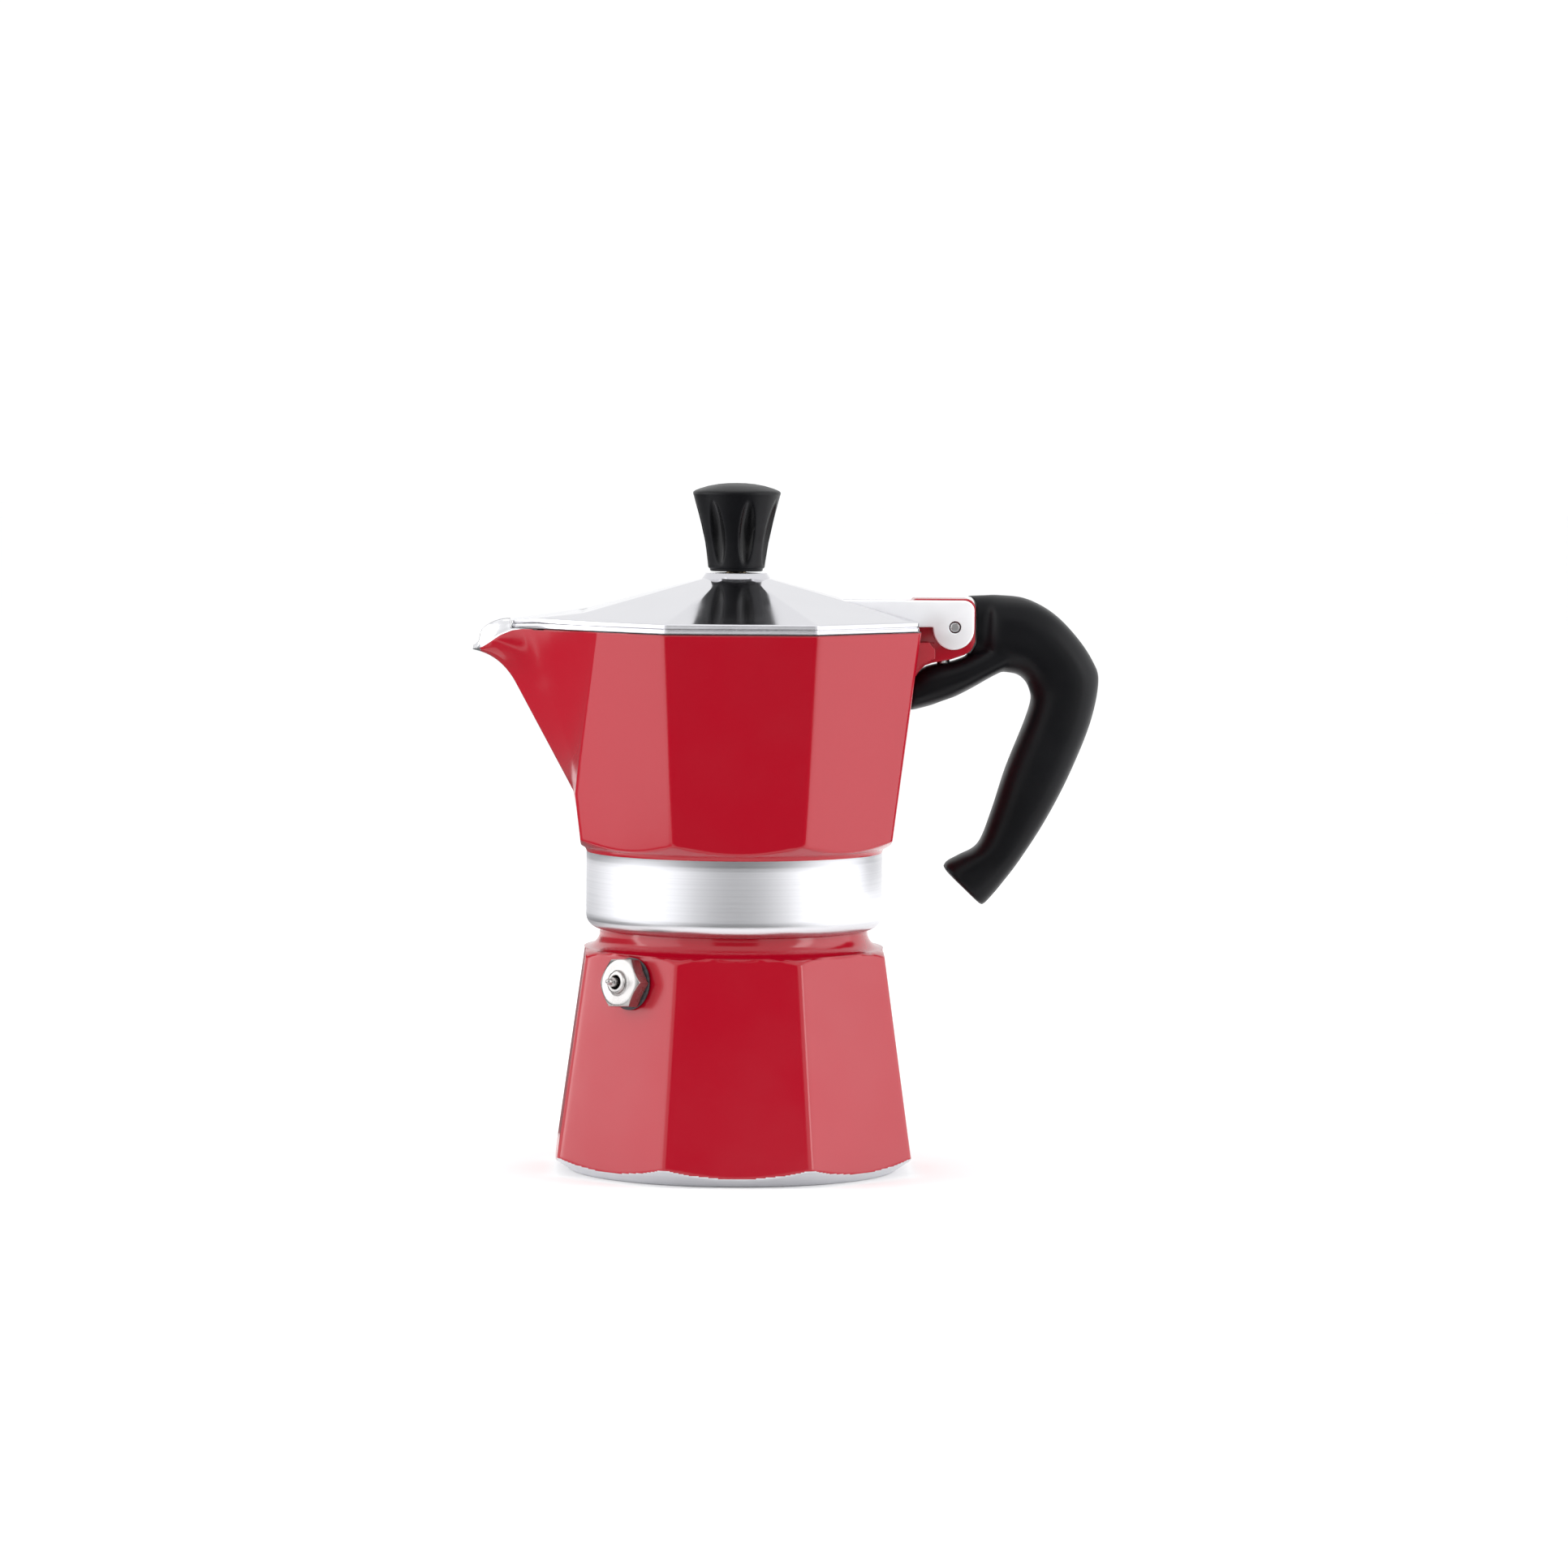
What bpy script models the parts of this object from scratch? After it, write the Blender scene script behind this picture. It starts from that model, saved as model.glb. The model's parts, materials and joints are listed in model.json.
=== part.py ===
"""Octagonal stovetop coffee maker: boiler, funnel, upper pot, hinged lid, handle and safety valve.

All dimensions below are in millimetres and are turned into metres as meshes are made.
The pot stands on z = 0 with its axis on Z. The spout points to -X and the handle to +X.
"""

import math

import bmesh
import bpy
from mathutils import Matrix, Vector

MM = 0.001
GAP = 0.3                    # clearance between pieces that touch on the real object
SHARP_ANGLE_DEG = 35.0       # edges sharper than this stay crisp
SEGMENTS = 48                # steps round the large turned pieces
FINE_SEGMENTS = 20           # steps round the small turned pieces
TURN = 2.0 * math.pi
OCTAGON_APOTHEM = math.cos(math.pi / 8)

# Boiler: octagonal skirt, round shoulder, threaded neck
BOILER_BASE_RADIUS = 38.4
BOILER_FOOT_Z = 3.84
BOILER_FOOT_CIRCUMRADIUS = 44.5
BOILER_SHOULDER_Z = 50.3
BOILER_SHOULDER_CIRCUMRADIUS = 37.6
BOILER_NECK_RADIUS = 31.2
BOILER_THREAD_RADIUS = 30.8
BOILER_RIM_Z = 68.0
BOILER_BORE_RADIUS = 26.6
BOILER_FLOOR_Z = 4.5

# Upper pot: turned collar below, octagonal wall above
COLLAR_RADIUS = 34.5
COLLAR_BORE_RADIUS = 31.5
COLLAR_BOTTOM_Z = 56.4
COLLAR_TOP_Z = 74.4
GASKET_BORE_RADIUS = 29.1
POT_UNDERSIDE_Z = 73.1
POT_FOOT_Z = 77.7
POT_FOOT_CIRCUMRADIUS = 39.25
POT_RIM_Z = 126.05
POT_RIM_CIRCUMRADIUS = 45.8
POT_WALL = 3.1
POT_FLOOR_Z = 77.2

# Spout
SPOUT_ROOT_Z = 87.4
SPOUT_SLOPE = 0.539          # how far the front ridge leans out per unit of height
SPOUT_SPREAD = 13.8          # how far the spout reaches along each neighbouring facet at the rim
SPOUT_TIP = (-61.7, 120.9)
SPOUT_FLARE_START_Z = 113.3
LIP_ARC_CENTRE = (-52.8, 119.2)
LIP_ARC_RADIUS = 8.95
LIP_BACK_X = -52.6
LIP_NOSE_WIDTH = 1.5         # how much wider the flared lip is than the straight ridge
LIP_EDGE = ((-62.5, 118.2), (-59.4, 120.3), (-57.0, 122.1), (-54.7, 123.8), (-52.1, 125.3),
            (-49.8, 126.1), (-47.0, 127.2))
POUR_SLOT_HALF_WIDTH = 2.2
POUR_SLOT_Z = 122.0

# Lid and its hinge
LID_SKIRT_BOTTOM_Z = 126.5
LID_SKIRT_TOP_Z = 128.3
LID_SEAT_RADIUS = 7.4
LID_SEAT_Z = 139.1
LID_CIRCUMRADIUS = 45.3
LID_TONGUE_X = -52.2
LID_TONGUE_Z = 127.9
LID_TONGUE_HALF_WIDTH = 5.0
LID_KINK = (-36.0, 130.0)
LID_THICKNESS = 1.35
HINGE_X = 50.6
HINGE_Z = 127.0
HINGE_PIN_RADIUS = 1.15
EAR_INNER_Y = 5.9
EAR_THICKNESS = 2.5
EAR_LOBE_RADIUS = 4.9
BRACKET_HALF_WIDTH = 5.5
BRACKET_TOP_Z = 133.5
BRACKET_END_X = 55.5

# Handle
HANDLE_HALF_WIDTH = 8.2
HANDLE_SCREW_X = 48.4

# Knob
KNOB_BOTTOM_Z = 139.5
KNOB_TOP_Z = 160.0
KNOB_FLUTES = 7

# Funnel, filter plate, gasket and coffee column
COLUMN_BORE_RADIUS = 3.2
COLUMN_TOP_Z = 119.0
COLUMN_HOLE_RADIUS = 5.0
FUNNEL_FLANGE_RADIUS = 28.7
FUNNEL_BASKET_RADIUS = 24.8
FUNNEL_STEM_RADIUS = 4.3
FUNNEL_SHEET = 0.8
FUNNEL_TIP_Z = 9.0
GASKET_THICKNESS = 2.5
FILTER_SHEET = 0.6

# Safety valve, in its own frame: +Z out of the facet, z = 0 on the facet
VALVE_Z = 45.3
VALVE_OFFSET = 1.5
VALVE_HEX_ACROSS_FLATS = 10.8
VALVE_HEX_BOTTOM = 1.15
VALVE_HEX_TOP = 4.65
VALVE_SHANK_RADIUS = 3.9
VALVE_SHANK_END = -8.0

ALUMINIUM = ((0.78, 0.78, 0.79, 1.0), 0.28, 1.0)
POLISHED = ((0.86, 0.86, 0.87, 1.0), 0.12, 1.0)
ENAMEL = ((0.55, 0.02, 0.03, 1.0), 0.25, 0.0)
BAKELITE = ((0.012, 0.012, 0.014, 1.0), 0.38, 0.0)
STEEL = ((0.62, 0.61, 0.59, 1.0), 0.3, 1.0)
NICKEL = ((0.66, 0.62, 0.58, 1.0), 0.25, 1.0)
BRASS = ((0.72, 0.55, 0.25, 1.0), 0.3, 1.0)
RUBBER = ((0.82, 0.80, 0.74, 1.0), 0.6, 0.0)
FIBRE = ((0.05, 0.05, 0.055, 1.0), 0.7, 0.0)


def clear_scene():
    for obj in list(bpy.data.objects):
        bpy.data.objects.remove(obj, do_unlink=True)


def make_collection(name):
    collection = bpy.data.collections.new(name)
    bpy.context.scene.collection.children.link(collection)
    return collection


def paint(obj, finish):
    colour, roughness, metallic = finish
    material = bpy.data.materials.new(obj.name + "_finish")
    material.use_nodes = True
    shader = material.node_tree.nodes["Principled BSDF"]
    shader.inputs["Base Color"].default_value = colour
    shader.inputs["Roughness"].default_value = roughness
    shader.inputs["Metallic"].default_value = metallic
    obj.data.materials.clear()
    obj.data.materials.append(material)


def add_mesh_object(name, bm):
    mesh = bpy.data.meshes.new(name)
    bm.to_mesh(mesh)
    bm.free()
    obj = bpy.data.objects.new(name, mesh)
    WORK.objects.link(obj)
    return obj


def hang_on_axis(name, place, pieces):
    """Parent pieces to an empty on their joint's axis; they are modelled in the empty's frame."""
    axis = bpy.data.objects.new(name, None)
    WORK.objects.link(axis)
    axis.matrix_world = place
    for piece in pieces:
        piece.parent = axis


def smooth(obj):
    obj.data.shade_smooth()
    obj.data.set_sharp_from_angle(angle=math.radians(SHARP_ANGLE_DEG))


def freeze(obj):
    """Replace an object's mesh with the one its modifiers make."""
    depsgraph = bpy.context.evaluated_depsgraph_get()
    mesh = bpy.data.meshes.new_from_object(obj.evaluated_get(depsgraph))
    obj.modifiers.clear()
    obj.data = mesh
    return obj


def combine(target, other, operation):
    """Cut, join or intersect two solids and remove the second one."""
    modifier = target.modifiers.new(operation.lower(), "BOOLEAN")
    modifier.operation = operation
    modifier.object = other
    freeze(target)
    bpy.data.objects.remove(other, do_unlink=True)
    return target


def cut(target, *cutters):
    for cutter in cutters:
        combine(target, cutter, "DIFFERENCE")
    return target


def join(target, *others):
    for other in others:
        combine(target, other, "UNION")
    return target


def turned(name, profile, closed=False, segments=SEGMENTS):
    """Turn a profile of (radius, z) points about Z. It runs down the outer side.

    The first step is half a step round, so that no edge falls on an octagon's corner.
    """
    bm = bmesh.new()
    start = polar(MM, 180.0 / segments)
    verts = [bm.verts.new((radius * start.x, radius * start.y, z * MM)) for radius, z in profile]
    for first, second in zip(verts, verts[1:]):
        bm.edges.new((first, second))
    if closed:
        bm.edges.new((verts[-1], verts[0]))
    obj = add_mesh_object(name, bm)
    screw = obj.modifiers.new("turn", "SCREW")
    screw.axis = "Z"
    screw.steps = segments
    screw.render_steps = segments
    screw.use_merge_vertices = True
    screw.merge_threshold = 0.00001
    return freeze(obj)


def cylinder(name, radius, z_low, z_high, segments=FINE_SEGMENTS, x=0.0):
    """Make an upright cylinder, or a prism where the segments are few."""
    bm = bmesh.new()
    place = Matrix.Translation((x * MM, 0.0, (z_low + z_high) * 0.5 * MM))
    bmesh.ops.create_cone(bm, cap_ends=True, segments=segments, radius1=radius * MM,
                          radius2=radius * MM, depth=(z_high - z_low) * MM, matrix=place)
    return add_mesh_object(name, bm)


def cross_cylinder(name, radius, x, z, y_low, y_high, segments=FINE_SEGMENTS):
    """Make a cylinder that lies along Y."""
    bm = bmesh.new()
    place = Matrix.Translation((x * MM, (y_low + y_high) * 0.5 * MM, z * MM))
    place = place @ Matrix.Rotation(math.pi / 2, 4, "X")
    bmesh.ops.create_cone(bm, cap_ends=True, segments=segments, radius1=radius * MM,
                          radius2=radius * MM, depth=(y_high - y_low) * MM, matrix=place)
    return add_mesh_object(name, bm)


def box(name, low, high):
    bm = bmesh.new()
    centre = [(a + b) * 0.5 * MM for a, b in zip(low, high)]
    size = [(b - a) * MM for a, b in zip(low, high)]
    place = Matrix.Translation(centre) @ Matrix.Diagonal((*size, 1.0))
    bmesh.ops.create_cube(bm, size=1.0, matrix=place)
    return add_mesh_object(name, bm)


def loft(name, sections):
    """Skin rings of points, given from the lowest to the highest, each anticlockwise from above."""
    bm = bmesh.new()
    rings = [[bm.verts.new(Vector(point) * MM) for point in section] for section in sections]
    count = len(rings[0])
    for lower, upper in zip(rings, rings[1:]):
        for i in range(count):
            j = (i + 1) % count
            bm.faces.new((lower[i], lower[j], upper[j], upper[i]))
    bm.faces.new(list(reversed(rings[0])))
    bm.faces.new(rings[-1])
    bmesh.ops.triangulate(bm, faces=[f for f in bm.faces if len(f.verts) == 4])
    return add_mesh_object(name, bm)


def side_plate(name, outline, y_low, y_high):
    """Extrude an outline of (x, z) points along Y."""
    bm = bmesh.new()
    near = [bm.verts.new((x * MM, y_low * MM, z * MM)) for x, z in outline]
    face = bm.faces.new(near)
    grown = bmesh.ops.extrude_face_region(bm, geom=[face])
    moved = [item for item in grown["geom"] if isinstance(item, bmesh.types.BMVert)]
    bmesh.ops.translate(bm, verts=moved, vec=(0.0, (y_high - y_low) * MM, 0.0))
    bmesh.ops.recalc_face_normals(bm, faces=bm.faces)
    return add_mesh_object(name, bm)


def arc(centre, radius, start_deg, end_deg, steps):
    """Points along an arc, both ends included."""
    points = []
    for i in range(steps + 1):
        angle = math.radians(start_deg + (end_deg - start_deg) * i / steps)
        points.append((centre[0] + radius * math.cos(angle), centre[1] + radius * math.sin(angle)))
    return points


def polar(radius, angle_deg):
    angle = math.radians(angle_deg)
    return Vector((radius * math.cos(angle), radius * math.sin(angle)))


def blend(low, high, t):
    return low + (high - low) * t


def octagon(circumradius, z):
    return [(*polar(circumradius, 22.5 + 45.0 * k), z) for k in range(8)]


# ---------------------------------------------------------------- boiler

def boiler_circumradius(z):
    slope = ((BOILER_SHOULDER_CIRCUMRADIUS - BOILER_FOOT_CIRCUMRADIUS)
             / (BOILER_SHOULDER_Z - BOILER_FOOT_Z))
    return BOILER_FOOT_CIRCUMRADIUS + slope * (z - BOILER_FOOT_Z)


def build_boiler():
    fillet = 3.6
    fillet_centre = (BOILER_NECK_RADIUS + fillet, 55.7)
    blank = [(0.0, BOILER_RIM_Z), (BOILER_THREAD_RADIUS - 0.7, BOILER_RIM_Z)]
    blank += [(BOILER_THREAD_RADIUS, BOILER_RIM_Z - 0.7), (BOILER_THREAD_RADIUS, 57.2)]
    blank += [(BOILER_NECK_RADIUS, 56.8)]
    blank += arc(fillet_centre, fillet, 180.0, 268.0, 5)
    blank += [(36.2, 51.3), (37.6, 50.3), (40.0, 48.4), (52.0, 46.0), (52.0, 8.5)]
    blank += [(BOILER_BASE_RADIUS, 0.0), (0.0, 0.0)]
    boiler = loft("boiler", [octagon(boiler_circumradius(z), z) for z in (-3.0, 70.0)])
    combine(boiler, turned("boiler_blank", blank), "INTERSECT")
    cavity = [(0.0, 80.0), (BOILER_BORE_RADIUS, 80.0), (BOILER_BORE_RADIUS, 58.0)]
    cavity += [(28.4, 53.0), (30.8, 47.5), (36.4, 8.5), (34.8, 5.2), (33.0, BOILER_FLOOR_Z)]
    cavity += [(0.0, BOILER_FLOOR_Z)]
    cut(boiler, turned("boiler_cavity", cavity))
    hole = cylinder("valve_hole", VALVE_SHANK_RADIUS + GAP, -12.0, 12.0)
    hole.data.transform(valve_matrix())
    return cut(boiler, hole)


# ---------------------------------------------------------------- safety valve

def valve_matrix():
    """Place the valve's frame on the facet that faces halfway between the spout and the front."""
    lean = math.atan2((boiler_circumradius(0.0) - boiler_circumradius(1.0)) * OCTAGON_APOTHEM, 1.0)
    facing = Vector((-math.sqrt(0.5), -math.sqrt(0.5), 0.0))
    along = Vector((math.sqrt(0.5), -math.sqrt(0.5), 0.0))
    normal = facing * math.cos(lean) + Vector((0.0, 0.0, math.sin(lean)))
    centre = facing * boiler_circumradius(VALVE_Z) * OCTAGON_APOTHEM + along * VALVE_OFFSET
    centre.z = VALVE_Z
    up = normal.cross(along)
    turn = Matrix((along, up, normal)).transposed().to_4x4()
    return Matrix.Translation(centre * MM) @ turn


def build_valve():
    hex_radius = VALVE_HEX_ACROSS_FLATS / 2 / math.cos(math.pi / 6)
    body = cylinder("valve_body", hex_radius, VALVE_HEX_BOTTOM, VALVE_HEX_TOP, segments=6)
    body.data.transform(Matrix.Rotation(math.radians(4.0), 4, "Z"))
    crown = [(0.0, 9.0), (4.4, 9.0), (4.4, VALVE_HEX_TOP), (5.2, VALVE_HEX_TOP), (6.6, 3.85)]
    crown += [(6.6, VALVE_HEX_BOTTOM - 1.0), (0.0, VALVE_HEX_BOTTOM - 1.0)]
    combine(body, turned("valve_crown", crown, segments=FINE_SEGMENTS), "INTERSECT")
    boss = [(0.0, 5.7), (2.2, 5.7), (2.7, 5.2), (2.7, 4.0), (0.0, 4.0)]
    shank = [(0.0, 2.0), (VALVE_SHANK_RADIUS, 2.0), (VALVE_SHANK_RADIUS, VALVE_SHANK_END)]
    shank += [(0.0, VALVE_SHANK_END)]
    join(body, turned("valve_boss", boss, segments=FINE_SEGMENTS))
    join(body, turned("valve_shank", shank, segments=FINE_SEGMENTS))
    bore = [(0.0, 9.0), (1.6, 9.0), (1.6, 3.3), (3.0, 3.3), (3.0, -12.0), (0.0, -12.0)]
    cut(body, turned("valve_bore", bore, segments=FINE_SEGMENTS))

    washer = [(6.0, 0.85), (6.0, GAP), (4.3, GAP), (4.3, 0.85)]
    washer = turned("valve_washer", washer, closed=True, segments=FINE_SEGMENTS)
    seat = [(2.7, -6.5), (2.7, -7.7), (1.2, -7.7), (1.2, -6.5)]
    seat = turned("valve_seat", seat, closed=True, segments=FINE_SEGMENTS)
    disc = [(0.0, -5.5), (2.2, -5.5), (2.2, -6.2), (0.0, -6.2)]
    disc = turned("valve_disc", disc, segments=FINE_SEGMENTS)
    plunger = [(0.0, 8.4), (0.45, 8.3), (0.7, 7.95), (0.7, 6.9), (1.1, 6.7), (1.1, -4.2)]
    plunger += [(2.3, -4.2), (2.3, -5.2), (0.0, -5.2)]
    plunger = turned("valve_plunger", plunger, segments=FINE_SEGMENTS)
    spring = build_coil("valve_spring", radius=2.1, wire=0.28, z_low=-3.6, z_high=1.5, turns=4)

    finishes = {body: NICKEL, washer: FIBRE, seat: BRASS, disc: RUBBER, plunger: NICKEL,
                spring: STEEL}
    for piece, finish in finishes.items():
        paint(piece, finish)
    hang_on_axis("valve_axis", valve_matrix(), finishes)


def build_coil(name, radius, wire, z_low, z_high, turns, points_per_turn=10):
    curve = bpy.data.curves.new(name, "CURVE")
    curve.dimensions = "3D"
    curve.bevel_depth = wire * MM
    curve.bevel_resolution = 1
    curve.use_fill_caps = True
    spline = curve.splines.new("POLY")
    count = turns * points_per_turn + 1
    spline.points.add(count - 1)
    for i in range(count):
        t = i / (count - 1)
        spot = polar(radius, 360.0 * turns * t)
        height = blend(z_low, z_high, t)
        spline.points[i].co = (spot.x * MM, spot.y * MM, height * MM, 1.0)
    return mesh_from_curve(name, curve)


def mesh_from_curve(name, curve):
    """Turn a bevelled curve into a closed mesh object."""
    source = bpy.data.objects.new(name + "_curve", curve)
    WORK.objects.link(source)
    depsgraph = bpy.context.evaluated_depsgraph_get()
    mesh = bpy.data.meshes.new_from_object(source.evaluated_get(depsgraph))
    bm = bmesh.new()
    bm.from_mesh(mesh)
    bmesh.ops.remove_doubles(bm, verts=bm.verts, dist=0.00001)
    bmesh.ops.recalc_face_normals(bm, faces=bm.faces)
    obj = add_mesh_object(name, bm)
    obj.matrix_world = source.matrix_world
    bpy.data.objects.remove(source, do_unlink=True)
    return obj


# ---------------------------------------------------------------- funnel, filter, gasket

def build_funnel():
    flange_z = BOILER_RIM_Z + GAP
    top = flange_z + FUNNEL_SHEET
    basket_floor = 50.8
    throat = 43.0
    inner_basket = FUNNEL_BASKET_RADIUS - FUNNEL_SHEET
    inner_stem = FUNNEL_STEM_RADIUS - FUNNEL_SHEET
    profile = [(inner_basket, top), (FUNNEL_FLANGE_RADIUS, top), (FUNNEL_FLANGE_RADIUS, flange_z)]
    profile += [(FUNNEL_BASKET_RADIUS, flange_z), (FUNNEL_BASKET_RADIUS, basket_floor)]
    profile += [(FUNNEL_STEM_RADIUS, throat), (FUNNEL_STEM_RADIUS, FUNNEL_TIP_Z)]
    profile += [(inner_stem, FUNNEL_TIP_Z), (inner_stem, throat + 0.5)]
    profile += [(inner_basket, basket_floor + 0.6)]
    funnel = turned("funnel", profile, closed=True, segments=48)
    paint(funnel, ALUMINIUM)
    screen_z = basket_floor + 1.0
    radius = inner_basket - GAP
    screen = [(0.0, screen_z + 0.7), (radius, screen_z + 0.7), (radius, screen_z), (0.0, screen_z)]
    screen = turned("funnel_screen", screen, segments=48)
    paint(screen, ALUMINIUM)


def build_seal():
    low = BOILER_RIM_Z + 2 * GAP + FUNNEL_SHEET + 0.3
    high = low + GASKET_THICKNESS
    outer = GASKET_BORE_RADIUS - GAP
    inner = FUNNEL_BASKET_RADIUS - 1.0
    gasket = turned("gasket", [(outer, high), (outer, low), (inner, low), (inner, high)], closed=True)
    paint(gasket, RUBBER)
    plate_z = high + GAP
    drop = 0.9
    sheet = FILTER_SHEET
    profile = [(0.0, plate_z + sheet - drop), (19.5, plate_z + sheet - drop)]
    profile += [(21.5, plate_z + sheet), (outer, plate_z + sheet), (outer, plate_z)]
    profile += [(21.8, plate_z), (19.8, plate_z - drop), (0.0, plate_z - drop)]
    plate = turned("filter_plate", profile, segments=48)
    paint(plate, ALUMINIUM)


# ---------------------------------------------------------------- upper pot

def pot_circumradius(z):
    slope = (POT_RIM_CIRCUMRADIUS - POT_FOOT_CIRCUMRADIUS) / (POT_RIM_Z - POT_FOOT_Z)
    return POT_FOOT_CIRCUMRADIUS + slope * (z - POT_FOOT_Z)


def spout_root_points(z, circumradius):
    """The point on the +Y neighbouring facet where the spout starts, and the facet's corner."""
    reach = max(0.0, (z - SPOUT_ROOT_Z) / (POT_RIM_Z - SPOUT_ROOT_Z)) * SPOUT_SPREAD
    corner = polar(circumradius, 157.5)
    along = (polar(circumradius, 112.5) - corner).normalized()
    return corner + along * reach


def straight_ridge_x(z, circumradius):
    facet = -circumradius * OCTAGON_APOTHEM
    if z <= SPOUT_ROOT_Z:
        return facet
    root = -pot_circumradius(SPOUT_ROOT_Z) * OCTAGON_APOTHEM
    return root - SPOUT_SLOPE * (z - SPOUT_ROOT_Z) + (facet + pot_circumradius(z) * OCTAGON_APOTHEM)


def flare(z):
    """How far the lip stands out past the straight ridge at a height."""
    start = (straight_ridge_x(SPOUT_FLARE_START_Z, pot_circumradius(SPOUT_FLARE_START_Z)),
             SPOUT_FLARE_START_Z)
    if z <= start[1]:
        return 0.0
    bend = (-55.2, 120.0)
    t = flare_parameter(min(z, SPOUT_TIP[1]), start[1], bend[1], SPOUT_TIP[1])
    x = (1 - t) ** 2 * start[0] + 2 * t * (1 - t) * bend[0] + t * t * SPOUT_TIP[0]
    return x - straight_ridge_x(z, pot_circumradius(z))


def flare_parameter(value, start, bend, end):
    """Solve the quadratic curve through start, bend and end for its parameter."""
    a = start - 2 * bend + end
    b = 2 * (bend - start)
    c = start - value
    return (-b + math.sqrt(max(0.0, b * b - 4 * a * c))) / (2 * a)


def pot_section(z, with_flare=True):
    """The pot's outline at a height: six octagon corners, then the spout's two sides."""
    radius = pot_circumradius(z)
    corners = [polar(radius, angle) for angle in (-112.5, -67.5, -22.5, 22.5, 67.5, 112.5)]
    root = spout_root_points(z, radius)
    ridge = Vector((straight_ridge_x(z, radius), 0.0))
    stand_out = flare(z) if with_flare else 0.0
    widening = LIP_NOSE_WIDTH * min(1.0, -stand_out / 6.0)
    stations = [(0.0, 0.0), (0.5, 0.03)]
    if with_flare:
        stations += [(0.74, 0.2), (0.88, 0.62), (0.95, 0.9)]
    side = []
    for u, share in stations:
        point = root.lerp(ridge, u)
        side.append(point + Vector((stand_out * share, widening * share)))
    tip = ridge + Vector((stand_out, 0.0))
    mirrored = [Vector((point.x, -point.y)) for point in reversed(side)]
    return [(point.x, point.y, z) for point in corners + side + [tip] + mirrored]


def inset(section, distance):
    """Move every side of a convex section inwards."""
    z = section[0][2]
    points = [Vector(point[:2]) for point in section]
    count = len(points)
    moved = []
    for i in range(count):
        before = (points[i] - points[i - 1]).normalized()
        after = (points[(i + 1) % count] - points[i]).normalized()
        normal_before = Vector((-before.y, before.x))
        normal_after = Vector((-after.y, after.x))
        middle = (normal_before + normal_after).normalized()
        reach = distance / max(0.2, middle.dot(normal_after))
        spot = points[i] + middle * reach
        moved.append((spot.x, spot.y, z))
    return moved


def build_collector():
    flare_heights = [SPOUT_FLARE_START_Z, 116.3, 118.5, 119.7, 120.4, SPOUT_TIP[1]]
    heights = [70.0, SPOUT_ROOT_Z, 104.0] + flare_heights + [132.0]
    pot = loft("collector", [pot_section(z) for z in heights])
    blank = [(0.0, 134.0), (80.0, 134.0), (80.0, 100.0), (45.0, 81.3)]
    blank += [(POT_FOOT_CIRCUMRADIUS, POT_FOOT_Z), (35.9, 75.6), (COLLAR_RADIUS + 0.3, 75.0)]
    blank += [(COLLAR_RADIUS, COLLAR_TOP_Z), (0.0, COLLAR_TOP_Z)]
    combine(pot, turned("pot_blank", blank), "INTERSECT")
    collar = [(0.0, 79.0), (COLLAR_RADIUS, 79.0), (COLLAR_RADIUS, 59.6), (34.2, 58.4)]
    collar += [(33.2, 57.3), (31.9, COLLAR_BOTTOM_Z), (0.0, COLLAR_BOTTOM_Z)]
    join(pot, turned("collar", collar))
    cut(pot, top_trim())
    join(pot, *bracket_pieces())

    cavity_sections = [inset(pot_section(z, False), POT_WALL) for z in (70.0, SPOUT_ROOT_Z, 105.0, 140.0)]
    cavity = loft("pot_cavity", cavity_sections)
    bowl = [(0.0, 150.0), (75.0, 150.0), (75.0, 100.0), (38.0, 82.5), (34.4, 79.0), (32.0, 77.6)]
    bowl += [(29.0, POT_FLOOR_Z), (0.0, POT_FLOOR_Z)]
    combine(cavity, turned("bowl", bowl), "INTERSECT")
    cut(pot, cavity)

    bore = [(0.0, POT_UNDERSIDE_Z), (GASKET_BORE_RADIUS, POT_UNDERSIDE_Z)]
    bore += [(GASKET_BORE_RADIUS, 69.2), (COLLAR_BORE_RADIUS, 69.2), (COLLAR_BORE_RADIUS, 50.0), (0.0, 50.0)]
    cut(pot, turned("collar_bore", bore))
    cut(pot, cylinder("column_hole", COLUMN_HOLE_RADIUS, 70.0, 80.0))
    slot_low = (-70.0, -POUR_SLOT_HALF_WIDTH, POUR_SLOT_Z)
    cut(pot, box("pour_slot", slot_low, (-48.0, POUR_SLOT_HALF_WIDTH, 140.0)))
    cut(pot, cross_cylinder("pin_hole", HINGE_PIN_RADIUS + GAP, HINGE_X, HINGE_Z, -12.0, 12.0, 24))
    cut(pot, cylinder("screw_hole", 1.5 + GAP, 110.0, 124.6, 16, x=HANDLE_SCREW_X))
    for side in (-1.0, 1.0):
        cut(pot, lip_bevel(side))
    paint(pot, ENAMEL)
    return pot


def top_trim():
    """The cutter that levels the rim and rounds the lip of the spout."""
    outline = [(80.0, 145.0), (80.0, POT_RIM_Z), (LIP_BACK_X, POT_RIM_Z)]
    outline += arc(LIP_ARC_CENTRE, LIP_ARC_RADIUS, 89.0, 169.5, 8)
    outline += [(-70.0, 119.5), (-70.0, 145.0)]
    return side_plate("top_trim", outline, -60.0, 60.0)


def spout_half_width(x):
    """The spout's half width at the height of its tip."""
    outline = [point for point in pot_section(SPOUT_TIP[1]) if point[1] >= 0.0 and point[0] < -20.0]
    for inner, outer in zip(outline, outline[1:]):
        if outer[0] <= x <= inner[0]:
            return blend(inner[1], outer[1], (x - inner[0]) / (outer[0] - inner[0]))
    return 0.0


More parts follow.
